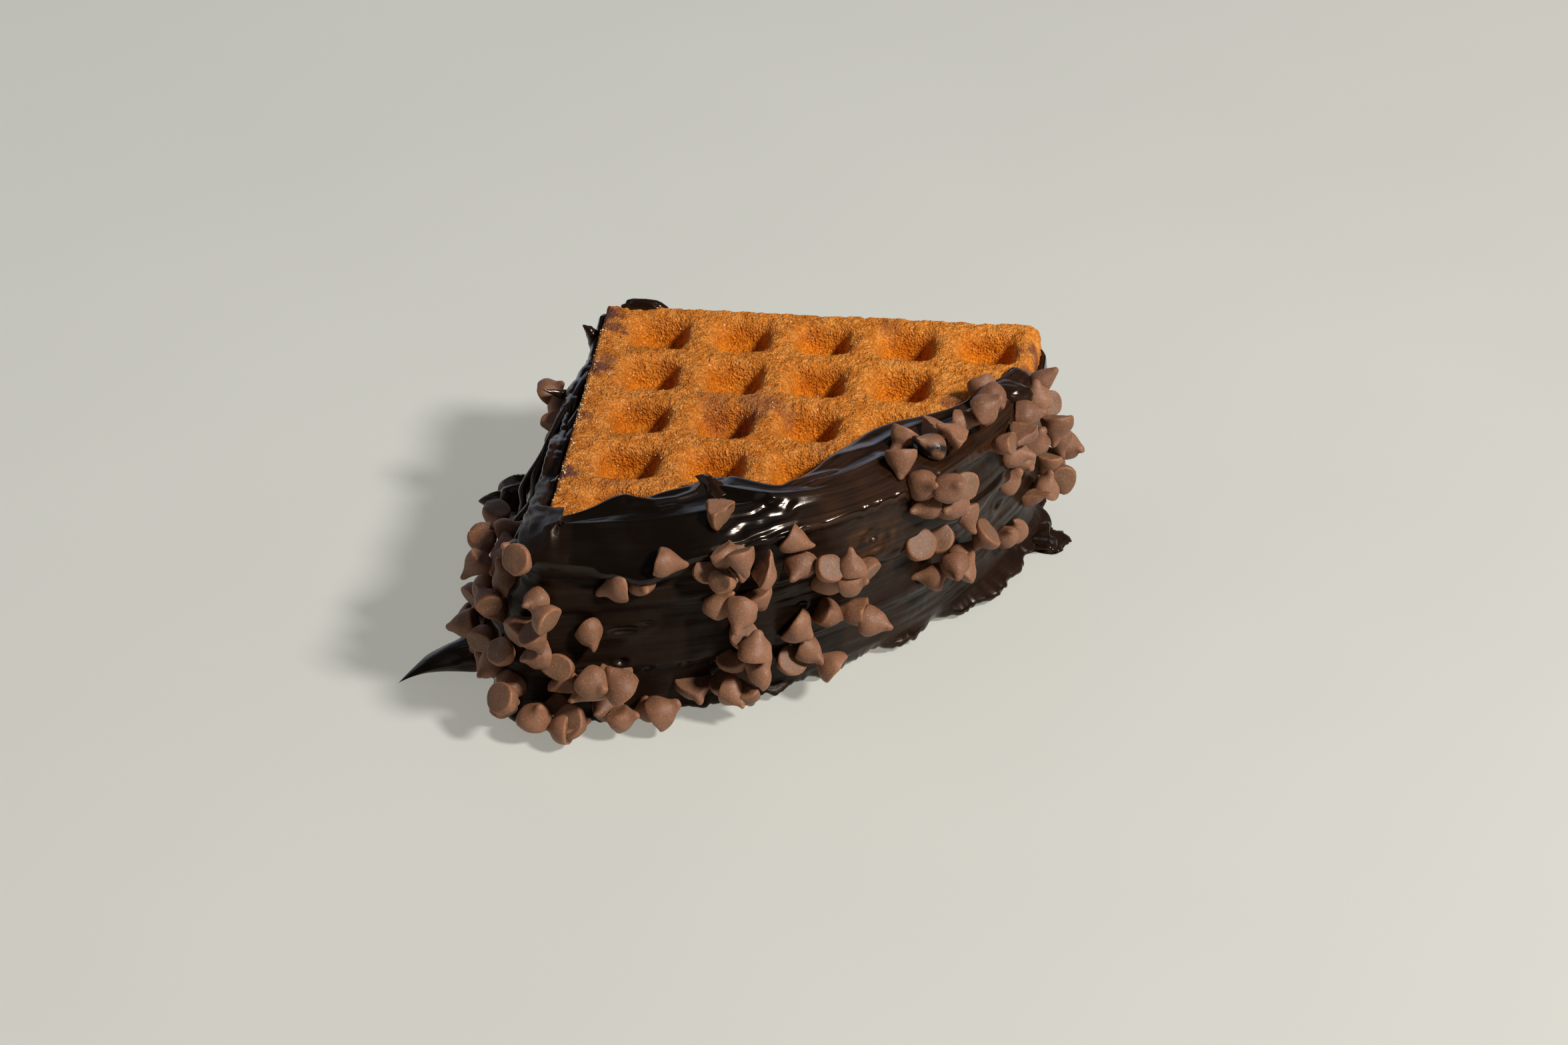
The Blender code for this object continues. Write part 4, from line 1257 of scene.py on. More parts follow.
    def relief(self, station: Array, places: Array, row: Array) -> Array:
        """How far the surface is pushed out along its normal, in metres.

        Formula: the sum of slow unevenness, streaks drawn along the wall, ridges down the left side, ripples
        under the fold, beads at the upper seam, the hanging lip with the groove under it, creases at the left
        corner, pits, and the folds on top.

        Args:
            station: the columns' stations.
            places: (across, forward, height) of the grid's points.
            row: each point's number among the control rows.

        Returns:
            The push at each point.
        """
        rim, left = self.track.rim_at, self.track.left_at
        s = np.broadcast_to(station, row.shape)
        height = places[..., 2]
        run = row * 2.2 * MM
        wall = smooth_step(row, 2.2, 3.6) * smooth_step(row, 10.6, 9.6)
        smear = smooth_step(row, 10.6, 11.6)
        on_top = smooth_step(row, 13.0, 14.0)
        rim_part = self.near(s, rim(0), rim(88), 6 * MM)
        left_part = self.near(s, left(74), left(2), 6 * MM)
        inner_fade = smooth_step(row, 17.2, 16.0)
        total = 0.28 * MM * rough_noise(places / (9 * MM), 61, 2)
        drawn = pair(s / (17 * MM), height / (0.9 * MM))
        total += wall * (0.10 + 0.06 * rim_part) * MM * rough_noise(drawn, 62, 2)
        swept = pair(s / (20 * MM) + run / (30 * MM), run / (1.5 * MM))
        total += smear * rim_part * 0.18 * MM * rough_noise(swept, 63, 1)
        pulled = pair((s + 0.45 * height) / (2.3 * MM), height / (24 * MM))
        strands = rough_noise(pulled, 64, 2)
        drawn_out = smooth_step(row, 2.5, 5.0) * (1 - 0.75 * smooth_step(row, 9.5, 11.0))
        total += left_part * drawn_out * 0.62 * MM * (1 - 2 * np.abs(strands))
        band = self.near(s, rim(67.5), rim(59.5), 2.5 * MM)
        band = band * smooth_step(row, 9.6, 10.8) * smooth_step(row, 14.0, 13.2)
        ripple = np.sin(run / (0.24 * MM) + s / (2.0 * MM) + 2.4 * smooth_noise(places / (3.5 * MM), 65))
        total += band * 0.24 * MM * ripple
        bead = self.near(s, rim(47), rim(14), 5 * MM) * mound(height, 27.3 * MM, 1.5 * MM)
        total += bead * MM * (1.1 + 1.7 * smooth_noise(pair(s / (5.5 * MM), height / (1.9 * MM)), 66))
        lip = self.near(s, left(84), rim(75), 4 * MM)
        hang = 0.7 + 1.6 * smooth_noise(pair(s / (5 * MM), height / (3 * MM)), 68)
        total += lip * MM * (hang * mound(height, 35 * MM, 1.3 * MM))
        total -= lip * 0.45 * MM * mound(height, 31.8 * MM, 1.2 * MM)
        corner = self.near(s, left(86), left(34), 4 * MM) * smooth_step(row, 10.0, 11.5) * inner_fade
        creases = rough_noise(pair(s / (9 * MM), run / (1.8 * MM)), 69, 2)
        total += corner * 0.8 * MM * np.maximum(creases + 0.35, 0)
        total += wall * self.pitted(s, height)
        total += on_top * inner_fade * self.folded(places)
        fine = rough_noise(places / (1.6 * MM), 67, 2)
        return total + (0.05 - 0.035 * smear) * MM * fine

    def pitted(self, station: Array, height: Array) -> Array:
        """The pits' depth: Gaussian dents with a slight raised rim.

        Args:
            station: the points' stations.
            height: the points' heights.

        Returns:
            Pushes in metres, negative in a pit.
        """
        total = np.zeros_like(height)
        for pit in PITS:
            along = (station - self.track.rim_at(pit.turn)) / (pit.long * MM)
            away = along**2 + ((height - pit.height * MM) / (pit.high * MM)) ** 2
            total -= pit.deep * MM * (np.exp(-away) - 0.35 * np.exp(-((np.sqrt(away) - 1.5) ** 2) * 4))
        return total

    def folded(self, places: Array) -> Array:
        """The folds' height at places on top: a Gaussian ridge along each line, and a step across it.

        Args:
            places: (across, forward, height) of the points.

        Returns:
            Pushes in metres.
        """
        total = np.zeros(places.shape[:-1])
        flat = places[..., :2] / MM
        for fold in FOLDS:
            line = np.array(fold.line)
            near = np.full(total.shape, 1e9)
            side = np.zeros(total.shape)
            share_along = np.zeros(total.shape)
            for index, (start, end) in enumerate(zip(line, line[1:])):
                way = end - start
                share = np.clip(((flat - start) @ way) / (way @ way), 0, 1)
                gap = flat - start - share[..., None] * way
                away = np.hypot(gap[..., 0], gap[..., 1])
                cross = way[0] * gap[..., 1] - way[1] * gap[..., 0]
                closer = away < near
                near = np.where(closer, away, near)
                side = np.where(closer, np.sign(cross), side)
                share_along = np.where(closer, (index + share) / (len(line) - 1), share_along)
            ends = smooth_step(share_along, 0.0, 0.3) * smooth_step(share_along, 1.0, 0.8)
            signed = near * side
            total += ends * fold.ridge * MM * np.exp(-((near / fold.width) ** 2))
            raised = (1 - np.sign(fold.step) * np.tanh(signed / 0.4)) / 2
            total += ends * abs(fold.step) * MM * raised * np.exp(-np.maximum(near - 0.8, 0) / fold.fade)
        return total

    def gloss(self, station: Array, places: Array, row: Array) -> Array:
        """How glossy the surface is: the smear, the left side and the beads shine, and the wall is duller.

        Args:
            station: the columns' stations.
            places: (across, forward, height) of the grid's points.
            row: each point's number among the control rows.

        Returns:
            Shares from 0 to 1.
        """
        rim, left = self.track.rim_at, self.track.left_at
        s = np.broadcast_to(station, row.shape)
        height = places[..., 2]
        wiped = self.near(s, rim(58), rim(12), 12 * MM)
        wall = 0.16 + 0.34 * wiped + 0.2 * rough_noise(pair(s / (14 * MM), height / (4 * MM)), 71, 2)
        glossy = smooth_step(row, 10.8, 11.5)
        glossy = np.maximum(glossy, self.near(s, left(80), left(2), 5 * MM))
        bead = self.near(s, rim(44), rim(12), 5 * MM) * mound(height, 27 * MM, 2.4 * MM)
        glossy = np.maximum(glossy, bead)
        glossy = np.maximum(glossy, smooth_step(height, 2.6 * MM, 1.0 * MM))
        glossy = np.maximum(glossy, np.clip(-self.pitted(s, height) / (0.5 * MM), 0, 1) * (row < 10))
        dull = self.near(s, left(90), left(58), 3 * MM) * smooth_step(row, 11.0, 12.0)
        return np.clip(wall + (1 - wall) * glossy, 0, 1) * (1 - 0.7 * dull)

    def brown_shares(self, station: Array, places: Array, row: Array) -> Array:
        """How much browner the coat is: a patch high on the wall, the smear and wall on the right, and the left side.

        Args:
            station: the columns' stations.
            places: (across, forward, height) of the grid's points.
            row: each point's number among the control rows.

        Returns:
            Shares from 0 to 1.
        """
        rim, left = self.track.rim_at, self.track.left_at
        s = np.broadcast_to(station, row.shape)
        patch = self.near(s, rim(51), rim(46.5), 4 * MM) * mound(places[..., 2], 31 * MM, 2.6 * MM)
        brown = self.near(s, rim(56), rim(10), 9 * MM) * (0.14 + 0.22 * smooth_step(row, 10.2, 11.2))
        brown = np.maximum(brown, 0.26 * self.near(s, left(74), left(4), 5 * MM))
        uneven = 0.75 + 0.5 * rough_noise(places / (5 * MM), 73, 2)
        patchy = 0.55 + 0.9 * rough_noise(places / (2.2 * MM), 72, 3)
        return np.clip(patch * patchy + brown * uneven, 0, 1)


@dataclass
class Coat:
    """The coat of spread with all that it holds between the layers: one closed surface round the stack."""

    shape: CoatShape
    rim_step: float = 0.34 * MM
    left_step: float = 0.62 * MM
    back_step: float = 1.5 * MM
    floor_gap: float = 0.1 * MM
    foot_gap: float = 0.12 * MM
    inner_out: float = -2.6 * MM
    under_out: float = -3.2 * MM

    def stations(self) -> Array:
        """The columns' stations: close together where the coat shows best, wider at the back.

        Returns:
            Lengths along the outline, in order.
        """
        track = self.shape.track
        stretches = (
            (0.0, track.left_at(80), self.rim_step),
            (track.left_at(80), track.left_at(2), self.left_step),
            (track.left_at(2), track.length, self.back_step),
        )
        parts = []
        for first, last, step in stretches:
            parts.append(np.linspace(first, last, max(2, round((last - first) / step)), endpoint=False))
        return np.concatenate(parts)

    def ragged(self, station: Array, out: Array, height: Array, row: Array) -> tuple[Array, Array]:
        """Tears the coat's free edges by layered noise along the outline.

        The foot is torn in and out and lifted here and there, the brim at the left side and the back is wavy, and
        the smear's lower lip hangs lower in places, most of all towards the right.

        Args:
            station: the columns' stations.
            out: distances out from the side, (rows, stations).
            height: heights, (rows, stations).
            row: each point's number among the control rows.

        Returns:
            The new distances and heights.
        """
        track, near = self.shape.track, self.shape.near
        s = station[None, :]
        foot = smooth_step(height, 4.5 * MM, 1.2 * MM) * (np.arange(len(out))[:, None] > 1)
        tears = pair(s / (1.5 * MM), 0.0)
        torn = 0.24 * MM * rough_noise(tears, 81, 3) + 1.3 * MM * rough_noise(pair(s / (5.5 * MM), 3.0), 82, 2)
        lift = 0.5 * MM * np.maximum(rough_noise(tears + 7, 83, 2), -0.4)
        out, height = out + foot * torn, np.maximum(height + foot * lift, self.foot_gap)
        free = near(station, track.left_at(72), track.length - 4 * MM, 4 * MM)[None, :]
        brim = free * smooth_step(row, 8.8, 11.0) * smooth_step(row, 18.0, 16.5)
        out = out + brim * 0.5 * MM * smooth_noise(pair(s / (8 * MM), 5.0), 85)
        height = height + brim * 1.0 * MM * rough_noise(pair(s / (9 * MM), 0.0), 84, 2)
        share = 0.25 + 0.75 * near(station, track.rim_at(52), track.rim_at(16), 6 * MM)
        share = share * near(station, track.rim_at(88), track.rim_at(10), 4 * MM)
        lip = smooth_step(row, 9.9, 10.8) * smooth_step(row, 12.4, 11.4)
        hang = np.minimum(rough_noise(pair(s / (2.8 * MM), 9.0), 86, 3), 0.3)
        return out, height + lip * share * 1.1 * MM * hang

    def build(self, finish: bpy.types.Material) -> bpy.types.Object:
        """Makes the coat's mesh and dresses it.

        The outer rows run up the side and over the top; a few hidden rows lead back down inside the layers, so
        that each column is a closed line and the whole a closed ring.

        Args:
            finish: the spread's material.

        Returns:
            The finished piece.
        """
        shape = self.shape
        station = self.stations()
        out, height, row = shape.fine_rows(station)
        out, height = self.ragged(station, out, height, row)
        places = shape.on_side(station[None, :], out, height)
        normal = self.normals(places)
        push = shape.relief(station[None, :], places, row)
        push *= smooth_step(row, 0.9, 1.8) * smooth_step(row, 17.6, 16.6)
        places = places + push[..., None] * normal
        places[..., 2] = np.maximum(places[..., 2], self.floor_gap)
        inner = self.way_back(station, out)
        everything = np.concatenate([places, inner])
        points = shape.stack.world(everything[..., 0], everything[..., 1], everything[..., 2])
        piece = make_mesh("spread_coat", points.reshape(-1, 3), ring_quads(*points.shape[:2], closed=True))
        fill = np.zeros(inner.shape[:2])
        paint(piece, "gloss", np.concatenate([shape.gloss(station[None, :], places, row), fill + 0.5]))
        paint(piece, "thin", np.concatenate([shape.brown_shares(station[None, :], places, row), fill]))
        strides = np.linalg.norm(np.diff(everything, axis=0), axis=-1).mean(axis=1)
        run = np.concatenate([[0], np.cumsum(strides)])
        map_lengths(piece, *np.broadcast_arrays(station[None, :], run[:, None]))
        piece.data.materials.append(finish)
        settle(piece, CHOCOLATE_SLOT, "chocolate")
        return piece

    def way_back(self, station: Array, out: Array) -> Array:
        """The hidden rows from the surface's inner end down behind the gap and under the layers' edges.

        Args:
            station: the columns' stations.
            out: the surface's distances out from the side, (rows, stations).

        Returns:
            Places of shape (hidden rows, stations, 3).
        """
        gap = self.shape.curve(self.shape.knots()["gap"], station) * MM
        behind = np.maximum(self.inner_out, gap)
        ends = (
            (behind, 27 * MM), (behind, 22.5 * MM), (-1.2 * MM, 22.0 * MM),
            (self.under_out, 20.0 * MM), (self.under_out, 12.0 * MM), (self.under_out, 3.0 * MM),
        )
        start_out = np.minimum(out[-1], 0)
        rows = []
        for far, level in ends:
            far = np.where(gap > 0, far, np.minimum(far, start_out))
            rows.append(self.shape.on_side(station, far + 0 * station, level + 0 * station))
        return np.array(rows)

    @staticmethod
    def normals(places: Array) -> Array:
        """Unit normals of a grid whose rows are closed: the cross product of its two ways.

        Args:
            places: points of shape (rows, stations, 3).

        Returns:
            Unit vectors of the same shape.
        """
        around = np.roll(places, -1, axis=1) - np.roll(places, 1, axis=1)
        up = np.gradient(places, axis=0)
        normal = np.cross(around, up)
        length = np.linalg.norm(normal, axis=-1, keepdims=True)
        return normal / np.maximum(length, 1e-12)


# ---- lumps, peaks and strands


@dataclass(frozen=True)
class Blob:
    """A squeezed-out lump of spread: its middle and half sizes in mm."""

    name: str
    middle: Place
    radii: Place
    rough: float = 0.22


@dataclass(frozen=True)
class Strand:
    """A pulled peak, tail or string: a bent line from root to tip in mm, and its radius at the root and the tip."""

    name: str
    root: Place
    bend: Place
    tip: Place
    thick: float
    thin: float = 0.05
    flat: float = 1.0
    taper: float = 0.8
    ridged: float = 0.0
    sway: float = 0.0


BLOBS = (
    Blob("left_lump", (-13.0, 23.8, 6.8), (7.4, 6.0, 5.8), 0.3),
    Blob("corner_lump", (-7.0, 72.0, 10.0), (5.5, 7.5, 8.5)),
    Blob("right_foot_lump", (85.4, 14.8, 0.6), (5.2, 5.4, 1.4), 0.55),
    Blob("right_fold", (78.6, 25.6, 39.2), (4.8, 3.6, 2.2), 0.14),
    Blob("back_hump", (6.4, 0.4, 38.2), (5.0, 2.4, 2.6), 0.34),
)

STRANDS = (
    Strand("tail", (-4.0, 66.0, 4.6), (-21.5, 66.0, 3.4), (-29.2, 74.8, 0.6), 9.4, flat=0.5, taper=1.2, ridged=0.06),
    Strand("left_peak", (-1.5, 23.0, 32.0), (-5.0, 25.0, 34.0), (-8.7, 27.0, 36.0), 1.7),
    Strand("low_peak", (-13.0, 24.6, 7.0), (-18.5, 25.0, 9.6), (-22.8, 24.6, 8.6), 4.2, ridged=0.1),
    Strand("back_peak", (-0.6, 7.0, 34.0), (-2.0, 6.5, 37.4), (-4.0, 6.6, 38.8), 2.2),
    Strand("curl", (30.0, 69.4, 40.4), (27.6, 66.6, 43.2), (25.0, 66.0, 43.0), 2.4),
    Strand("long_string", (-1.2, 19.0, 36.0), (-1.8, 46.0, 34.4), (-10.8, 63.0, 24.0), 1.6, 0.8, sway=1.6),
    Strand("outer_string", (-2.4, 27.0, 34.6), (-4.8, 50.0, 31.4), (-13.0, 60.0, 18.0), 1.2, 0.6, sway=2.0),
    Strand("short_string", (-1.0, 40.0, 36.0), (-1.8, 58.0, 34.6), (-9.6, 69.0, 25.0), 1.5, 0.7, sway=1.4),
    Strand("hanging_string", (-3.4, 28.0, 33.5), (-9.0, 44.0, 26.0), (-14.6, 53.0, 10.0), 0.9, 0.5, sway=1.6),
    Strand("corner_string", (-1.0, 57.0, 36.2), (-2.4, 68.0, 34.8), (-8.4, 74.5, 27.0), 1.5, 0.7, sway=1.2),
    Strand("inner_string", (-0.8, 34.0, 36.6), (-3.4, 52.0, 33.0), (-7.6, 72.0, 29.0), 1.1, 0.8, sway=1.8),
)


@dataclass
class Squeezed:
    """Builds the lumps, peaks and strings that stand out from the coat."""

    stack: Stack
    finish: bpy.types.Material
    floor: float = 0.12 * MM
    gloss: float = 0.9
    thin: float = 0.2
    strand_length: float = 30 * MM

    def dress(self, piece: bpy.types.Object, along: Array, across: Array) -> None:
        """Gives a piece the spread's finish, glossy and a little browner all over.

        Args:
            piece: the lump or strand.
            along: each vertex's length along the streaks.
            across: its length across them.
        """
        paint(piece, "gloss", np.full(len(piece.data.vertices), self.gloss))
        paint(piece, "thin", np.full(len(piece.data.vertices), self.thin))
        map_lengths(piece, along, across)
        piece.data.materials.append(self.finish)
        settle(piece, CHOCOLATE_SLOT, "chocolate")

    def blob(self, blob: Blob, seed: int, rings: int = 40, columns: int = 56) -> None:
        """Makes a lump: an ellipsoid whose radius follows layered noise, with soft folds round it.

        Args:
            blob: its sizes.
            seed: its noise.
            rings: rows from pole to pole.
            columns: points in a row.
        """
        rise = np.linspace(0, math.pi, rings + 2)[1:-1, None]
        turn = np.linspace(0, 2 * math.pi, columns, endpoint=False)[None, :]
        ball = (np.sin(rise) * np.cos(turn), np.sin(rise) * np.sin(turn), np.cos(rise) + 0 * turn)
        ball = np.stack(ball, axis=-1)
        poles = np.array([[0, 0, 1.0], [0, 0, -1.0]])
        ball = np.concatenate([ball.reshape(-1, 3), poles])
        swell = 1 + blob.rough * rough_noise(ball * 1.3, seed, 2)
        swell += blob.rough * 0.4 * (1 - 2 * np.abs(smooth_noise(ball * (1.2, 3.0, 3.0) + 5, seed + 3)))
        place = (np.array(blob.middle) + ball * swell[:, None] * np.array(blob.radii)) * MM
        place[:, 2] = np.maximum(place[:, 2], self.floor)
        piece = make_mesh(blob.name, self.stack.world(*place.T), capped_rings(rings, columns))
        self.dress(piece, place[:, 0], place[:, 2])

    def strand(self, strand: Strand, seed: int, steps: int = 44, sides: int = 24) -> None:
        """Makes a strand: a round or flat profile carried along a bent line, tapering to its tip.

        Formula: the line is the quadratic curve of root, bend and tip; the radius falls from thick to thin by
        a power of the share that is left.

        Args:
            strand: its sizes.
            seed: its noise.
            steps: rings along it.
            sides: points in a ring.
        """
        root, bend, tip = (np.array(place) * MM for place in (strand.root, strand.bend, strand.tip))
        share = np.linspace(0, 1, steps + 1)[:, None]
        line = (1 - share) ** 2 * root + 2 * share * (1 - share) * bend + share**2 * tip
        drift = [rough_noise(np.hstack([share * 3.4, share * 0 + axis]), seed + 7, 2) for axis in range(3)]
        line = line + strand.sway * MM * np.sin(math.pi * share) * np.stack(drift, axis=-1)
        along = 2 * (1 - share) * (bend - root) + 2 * share * (tip - bend)
        side = np.cross(along, (0, 0, 1.0))
        side /= np.linalg.norm(side, axis=1, keepdims=True)
        rise = np.cross(side, along)
        rise /= np.linalg.norm(rise, axis=1, keepdims=True)
        radius = (strand.thin + (strand.thick - strand.thin) * (1 - share) ** strand.taper) * MM
        if strand.sway:
            radius = radius * smooth_step(share, -0.06, 0.2)
            radius = radius * (1 + 0.35 * rough_noise(np.hstack([share * 5, share * 0]), seed + 8, 2)[:, None])
        turn = np.linspace(0, 2 * math.pi, sides, endpoint=False)[None, :]
        wave = 1 + strand.ridged * np.sin(5 * turn + 9 * share) + 0.12 * rough_noise(
            np.stack(np.broadcast_arrays(share * 7, np.cos(turn) * 1.3, np.sin(turn) * 1.3), axis=-1), seed, 2
        )
        lean = np.cos(turn)[..., None] * side[:, None, :]
        lift = strand.flat * np.sin(turn)[..., None] * rise[:, None, :]
        rings = line[:, None, :] + (radius * wave)[..., None] * (lean + lift)
        rings[..., 2] = np.maximum(rings[..., 2], self.floor)
        place = np.concatenate([rings.reshape(-1, 3), line[:1], line[-1:]])
        piece = make_mesh(strand.name, self.stack.world(*place.T), capped_rings(steps + 1, sides))
        around = np.concatenate([np.broadcast_to(turn * strand.thick * MM, (steps + 1, sides)).ravel(), [0, 0]])
        length = np.concatenate([np.repeat(share[:, 0] * self.strand_length, sides), [0, self.strand_length]])
        self.dress(piece, length, around)

    def build(self) -> None:
        """Makes them all."""
        for number, blob in enumerate(BLOBS):
            self.blob(blob, 101 + 10 * number)
        for number, strand in enumerate(STRANDS):
            self.strand(strand, 201 + 10 * number)


# ---- chips


@dataclass
class Chips:
    """The strewn chips, all in one piece: kiss-shaped drops with a flat foot and a bent tip."""

    shape: CoatShape
    radius: float = 3.2 * MM
    height: float = 5.7 * MM
    middle: float = 2.1 * MM
    stand_off: float = 1.5 * MM
    spacing: float = 4.9 * MM
    push: float = 0.5 * MM
    most_pushes: int = 9
    jitter: float = 0.9 * MM
    floor_gap: float = 0.15 * MM
    broken_share: float = 0.16
    smudged_share: float = 0.025
    bend_power: float = 2.6
    sizes: tuple[Place, Place] = ((0.80, 0.90, 0.88), (1.06, 1.08, 1.06))
    seed: int = 11
    sides: int = 22
    # The profile from the foot's middle to the tip: shares of the radius and of the height
    profile: tuple[tuple[float, float], ...] = (
        (0.45, 0.0), (0.84, 0.0), (0.95, 0.012), (0.99, 0.05), (1.0, 0.12), (0.985, 0.22), (0.93, 0.33),
        (0.83, 0.44), (0.69, 0.54), (0.54, 0.63), (0.42, 0.71), (0.34, 0.78), (0.285, 0.85), (0.235, 0.91),
        (0.15, 0.965),
    )

    def rows(self) -> tuple[tuple[float, float, float, int], ...]:
        """The rows of chips on the side.

        Returns:
            Each row's height in mm, the stations of its ends, and how many chips it has.
        """
        rim, left, back = self.shape.track.rim_at, self.shape.track.left_at, self.shape.track.back_at
        return (
            (4.6, rim(88.9), rim(72.6), 6), (11.5, rim(86), rim(79.8), 4), (23.0, rim(83.8), rim(83.8), 1),
            (32.8, rim(82.2), rim(78.3), 2), (38.6, rim(75.7), rim(75.7), 1),
            (38.4, rim(70.7), rim(65.9), 2), (33.6, rim(71.9), rim(63.5), 4), (26.5, rim(69.7), rim(63.4), 3),
            (18.4, rim(68.2), rim(64), 2), (12.2, rim(66.1), rim(62.8), 3), (6.4, rim(71), rim(64.5), 4),
            (37.2, rim(59.8), rim(59.8), 1), (31.0, rim(60.6), rim(52.6), 3), (25.8, rim(56.3), rim(50.5), 3),
            (17.0, rim(59.9), rim(48.2), 4), (9.6, rim(60.5), rim(52.7), 3),
            (38.2, rim(43.7), rim(38), 2), (33.6, rim(43.8), rim(34.4), 3), (25.4, rim(43.8), rim(33.2), 3),
            (18.0, rim(40.3), rim(30.4), 5),
            (37.6, rim(29.5), rim(10.3), 5), (31.2, rim(25.1), rim(8.4), 4), (25.0, rim(24.7), rim(6.5), 4),
            (15.4, rim(18), rim(7.4), 3), (9.6, rim(23.5), rim(16.1), 2),
            (5.0, left(80.5), left(58), 5), (12.0, left(80.5), left(58), 5), (19.5, left(80), left(60), 4),
            (27.0, left(80), left(62), 4), (34.5, left(78.5), left(78.5), 1), (12.0, left(44), left(32), 3),
            (31.0, left(31), left(19), 3), (10.0, left(12), left(4), 2),
            (31.5, back(7), back(15), 2), (27.5, back(31), back(46), 3), (21.0, back(12), back(21), 2),
            (22.0, back(56), back(72), 3), (14.0, back(35), back(42), 2), (8.5, back(9), back(16), 2),
            (9.0, back(54), back(64), 2),
            (37.7, left(85.5), left(85.5), 1), (29.6, left(84), left(90), 2), (22.6, left(81), left(91), 3),
            (16.6, left(84), rim(85.5), 3), (10.2, left(83), rim(88.5), 3), (4.6, left(84), left(89), 2),
            (26.0, left(61), left(75), 3), (13.4, rim(84), rim(79), 2), (3.6, rim(87), rim(83), 2),
            (19.0, rim(9), rim(2), 2), (13.5, rim(5), rim(1), 2), (10.5, rim(11), rim(7), 2),
        )

    def top_rows(self) -> Knots:
        """The chips on the smear over the rim.

        Returns:
            Each chip's station, and how far in from the edge it lies in mm.
        """
        rim = self.shape.track.rim_at
        return (
            (rim(68.6), 2.8), (rim(42.8), 2.0), (rim(38.9), 7.0), (rim(37.6), 2.2), (rim(33.4), 4.8),
            (rim(34.4), 0.6), (rim(30.2), 2.2), (rim(22.2), 4.6), (rim(24.4), 1.0), (rim(28.4), 0.2),
        )

    def world_at(self, station: Array, out: Array, height: Array) -> Array:
        """The frame's points at stations, distances out and heights."""
        place = self.shape.on_side(station, out, height)
        return self.shape.stack.world(place[..., 0], place[..., 1], place[..., 2])

    def spots(self) -> list[tuple[Array, Vector]]:
        """Each chip's place on the coat and its way out.

        Formula: a row's chips stand evenly between its ends, and random draws move each along and up. The rows
        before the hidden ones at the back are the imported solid's, with the same draws.

        Returns:
            The chips' places and unit vectors, in the order of the rows.
        """
        draw = np.random.default_rng(self.seed)
        spots = []
        for height, first, last, count in self.rows():
            for share in (np.arange(count) + 0.5) / count:
                station = np.array([first + (last - first) * share + draw.normal(0, self.jitter)])
                level = np.array([height * MM + draw.normal(0, self.jitter)])
                out, heights = self.shape.control(station)
                stands = np.interp(level, heights[2:13, 0], out[2:13, 0])
                away = self.shape.track.at(station)[1][0]
                way = Vector((away[0], -away[1], 0.15)).normalized()
                spots.append((self.world_at(station, stands, level)[0], way))
        for station, inset in self.top_rows():
            station = np.array([station])
            out, heights = self.shape.control(station)
            height = max(np.interp(-inset * MM, out[13:, 0][::-1], heights[13:, 0][::-1]), self.shape.stack.top + MM)
            away = self.shape.track.at(station)[1][0]
            way = Vector((away[0] * 0.4, -away[1] * 0.4, 1)).normalized()
            spots.append((self.world_at(station, np.array([-inset * MM]), np.array([height]))[0], way))
        return spots

    def feet_out(self) -> Knots:
        """The places where a chip's flat foot faces out.

        Returns:
            Each place's station, and its height in mm.
        """
        rim, left = self.shape.track.rim_at, self.shape.track.left_at
        return (
            (left(85.5), 37.7), (left(85.5), 17.2), (rim(71.8), 34.8), (rim(67.2), 16.3), (rim(56.9), 31.1),
            (rim(28), 38.6), (rim(34), 33.0), (rim(46), 25.4), (rim(60), 6.0),
        )

    def turned_over(self, spots: list[tuple[Array, Vector]]) -> set[int]:
        """The numbers of the chips nearest to the places where a foot faces out.

        Args:
            spots: each chip's place and way out.

        Returns:
            The chips' numbers.
        """
        points = np.array([point for point, _ in spots])
        found = set()
        for station, height in self.feet_out():
            place = self.world_at(np.array([station]), np.array([3 * MM]), np.array([height * MM]))[0]
            found.add(int(np.argmin(np.linalg.norm(points - place, axis=1))))
        return found

    def placed(self) -> list[tuple[Array, Array]]:
        """Each chip's middle and turning matrix, pushed out from the chips that it would lie in.

        Returns:
            The middles and matrices, in the order of the rows.
        """
        draw = np.random.default_rng(self.seed + 1)
        middles, placed = [], []
        spots = self.spots()
        turned_over = self.turned_over(spots)
        for number, (point, way) in enumerate(spots):
            chance = Vector(draw.normal(0, 1, 3)).normalized()
            aim = (chance + way * 0.2).normalized()
            if number in turned_over:
                aim = (chance * 0.3 - way - Vector((0, 0, 0.4))).normalized()
            middle = np.array(point) + np.array(way) * self.stand_off
            for _ in range(self.most_pushes):
                if all(np.linalg.norm(middle - other) > self.spacing for other in middles):
                    break
                middle = middle + np.array(way) * self.push
            middles.append(middle)
            placed.append((middle, np.array(aim.to_track_quat("Z", "X").to_matrix())))
        return placed

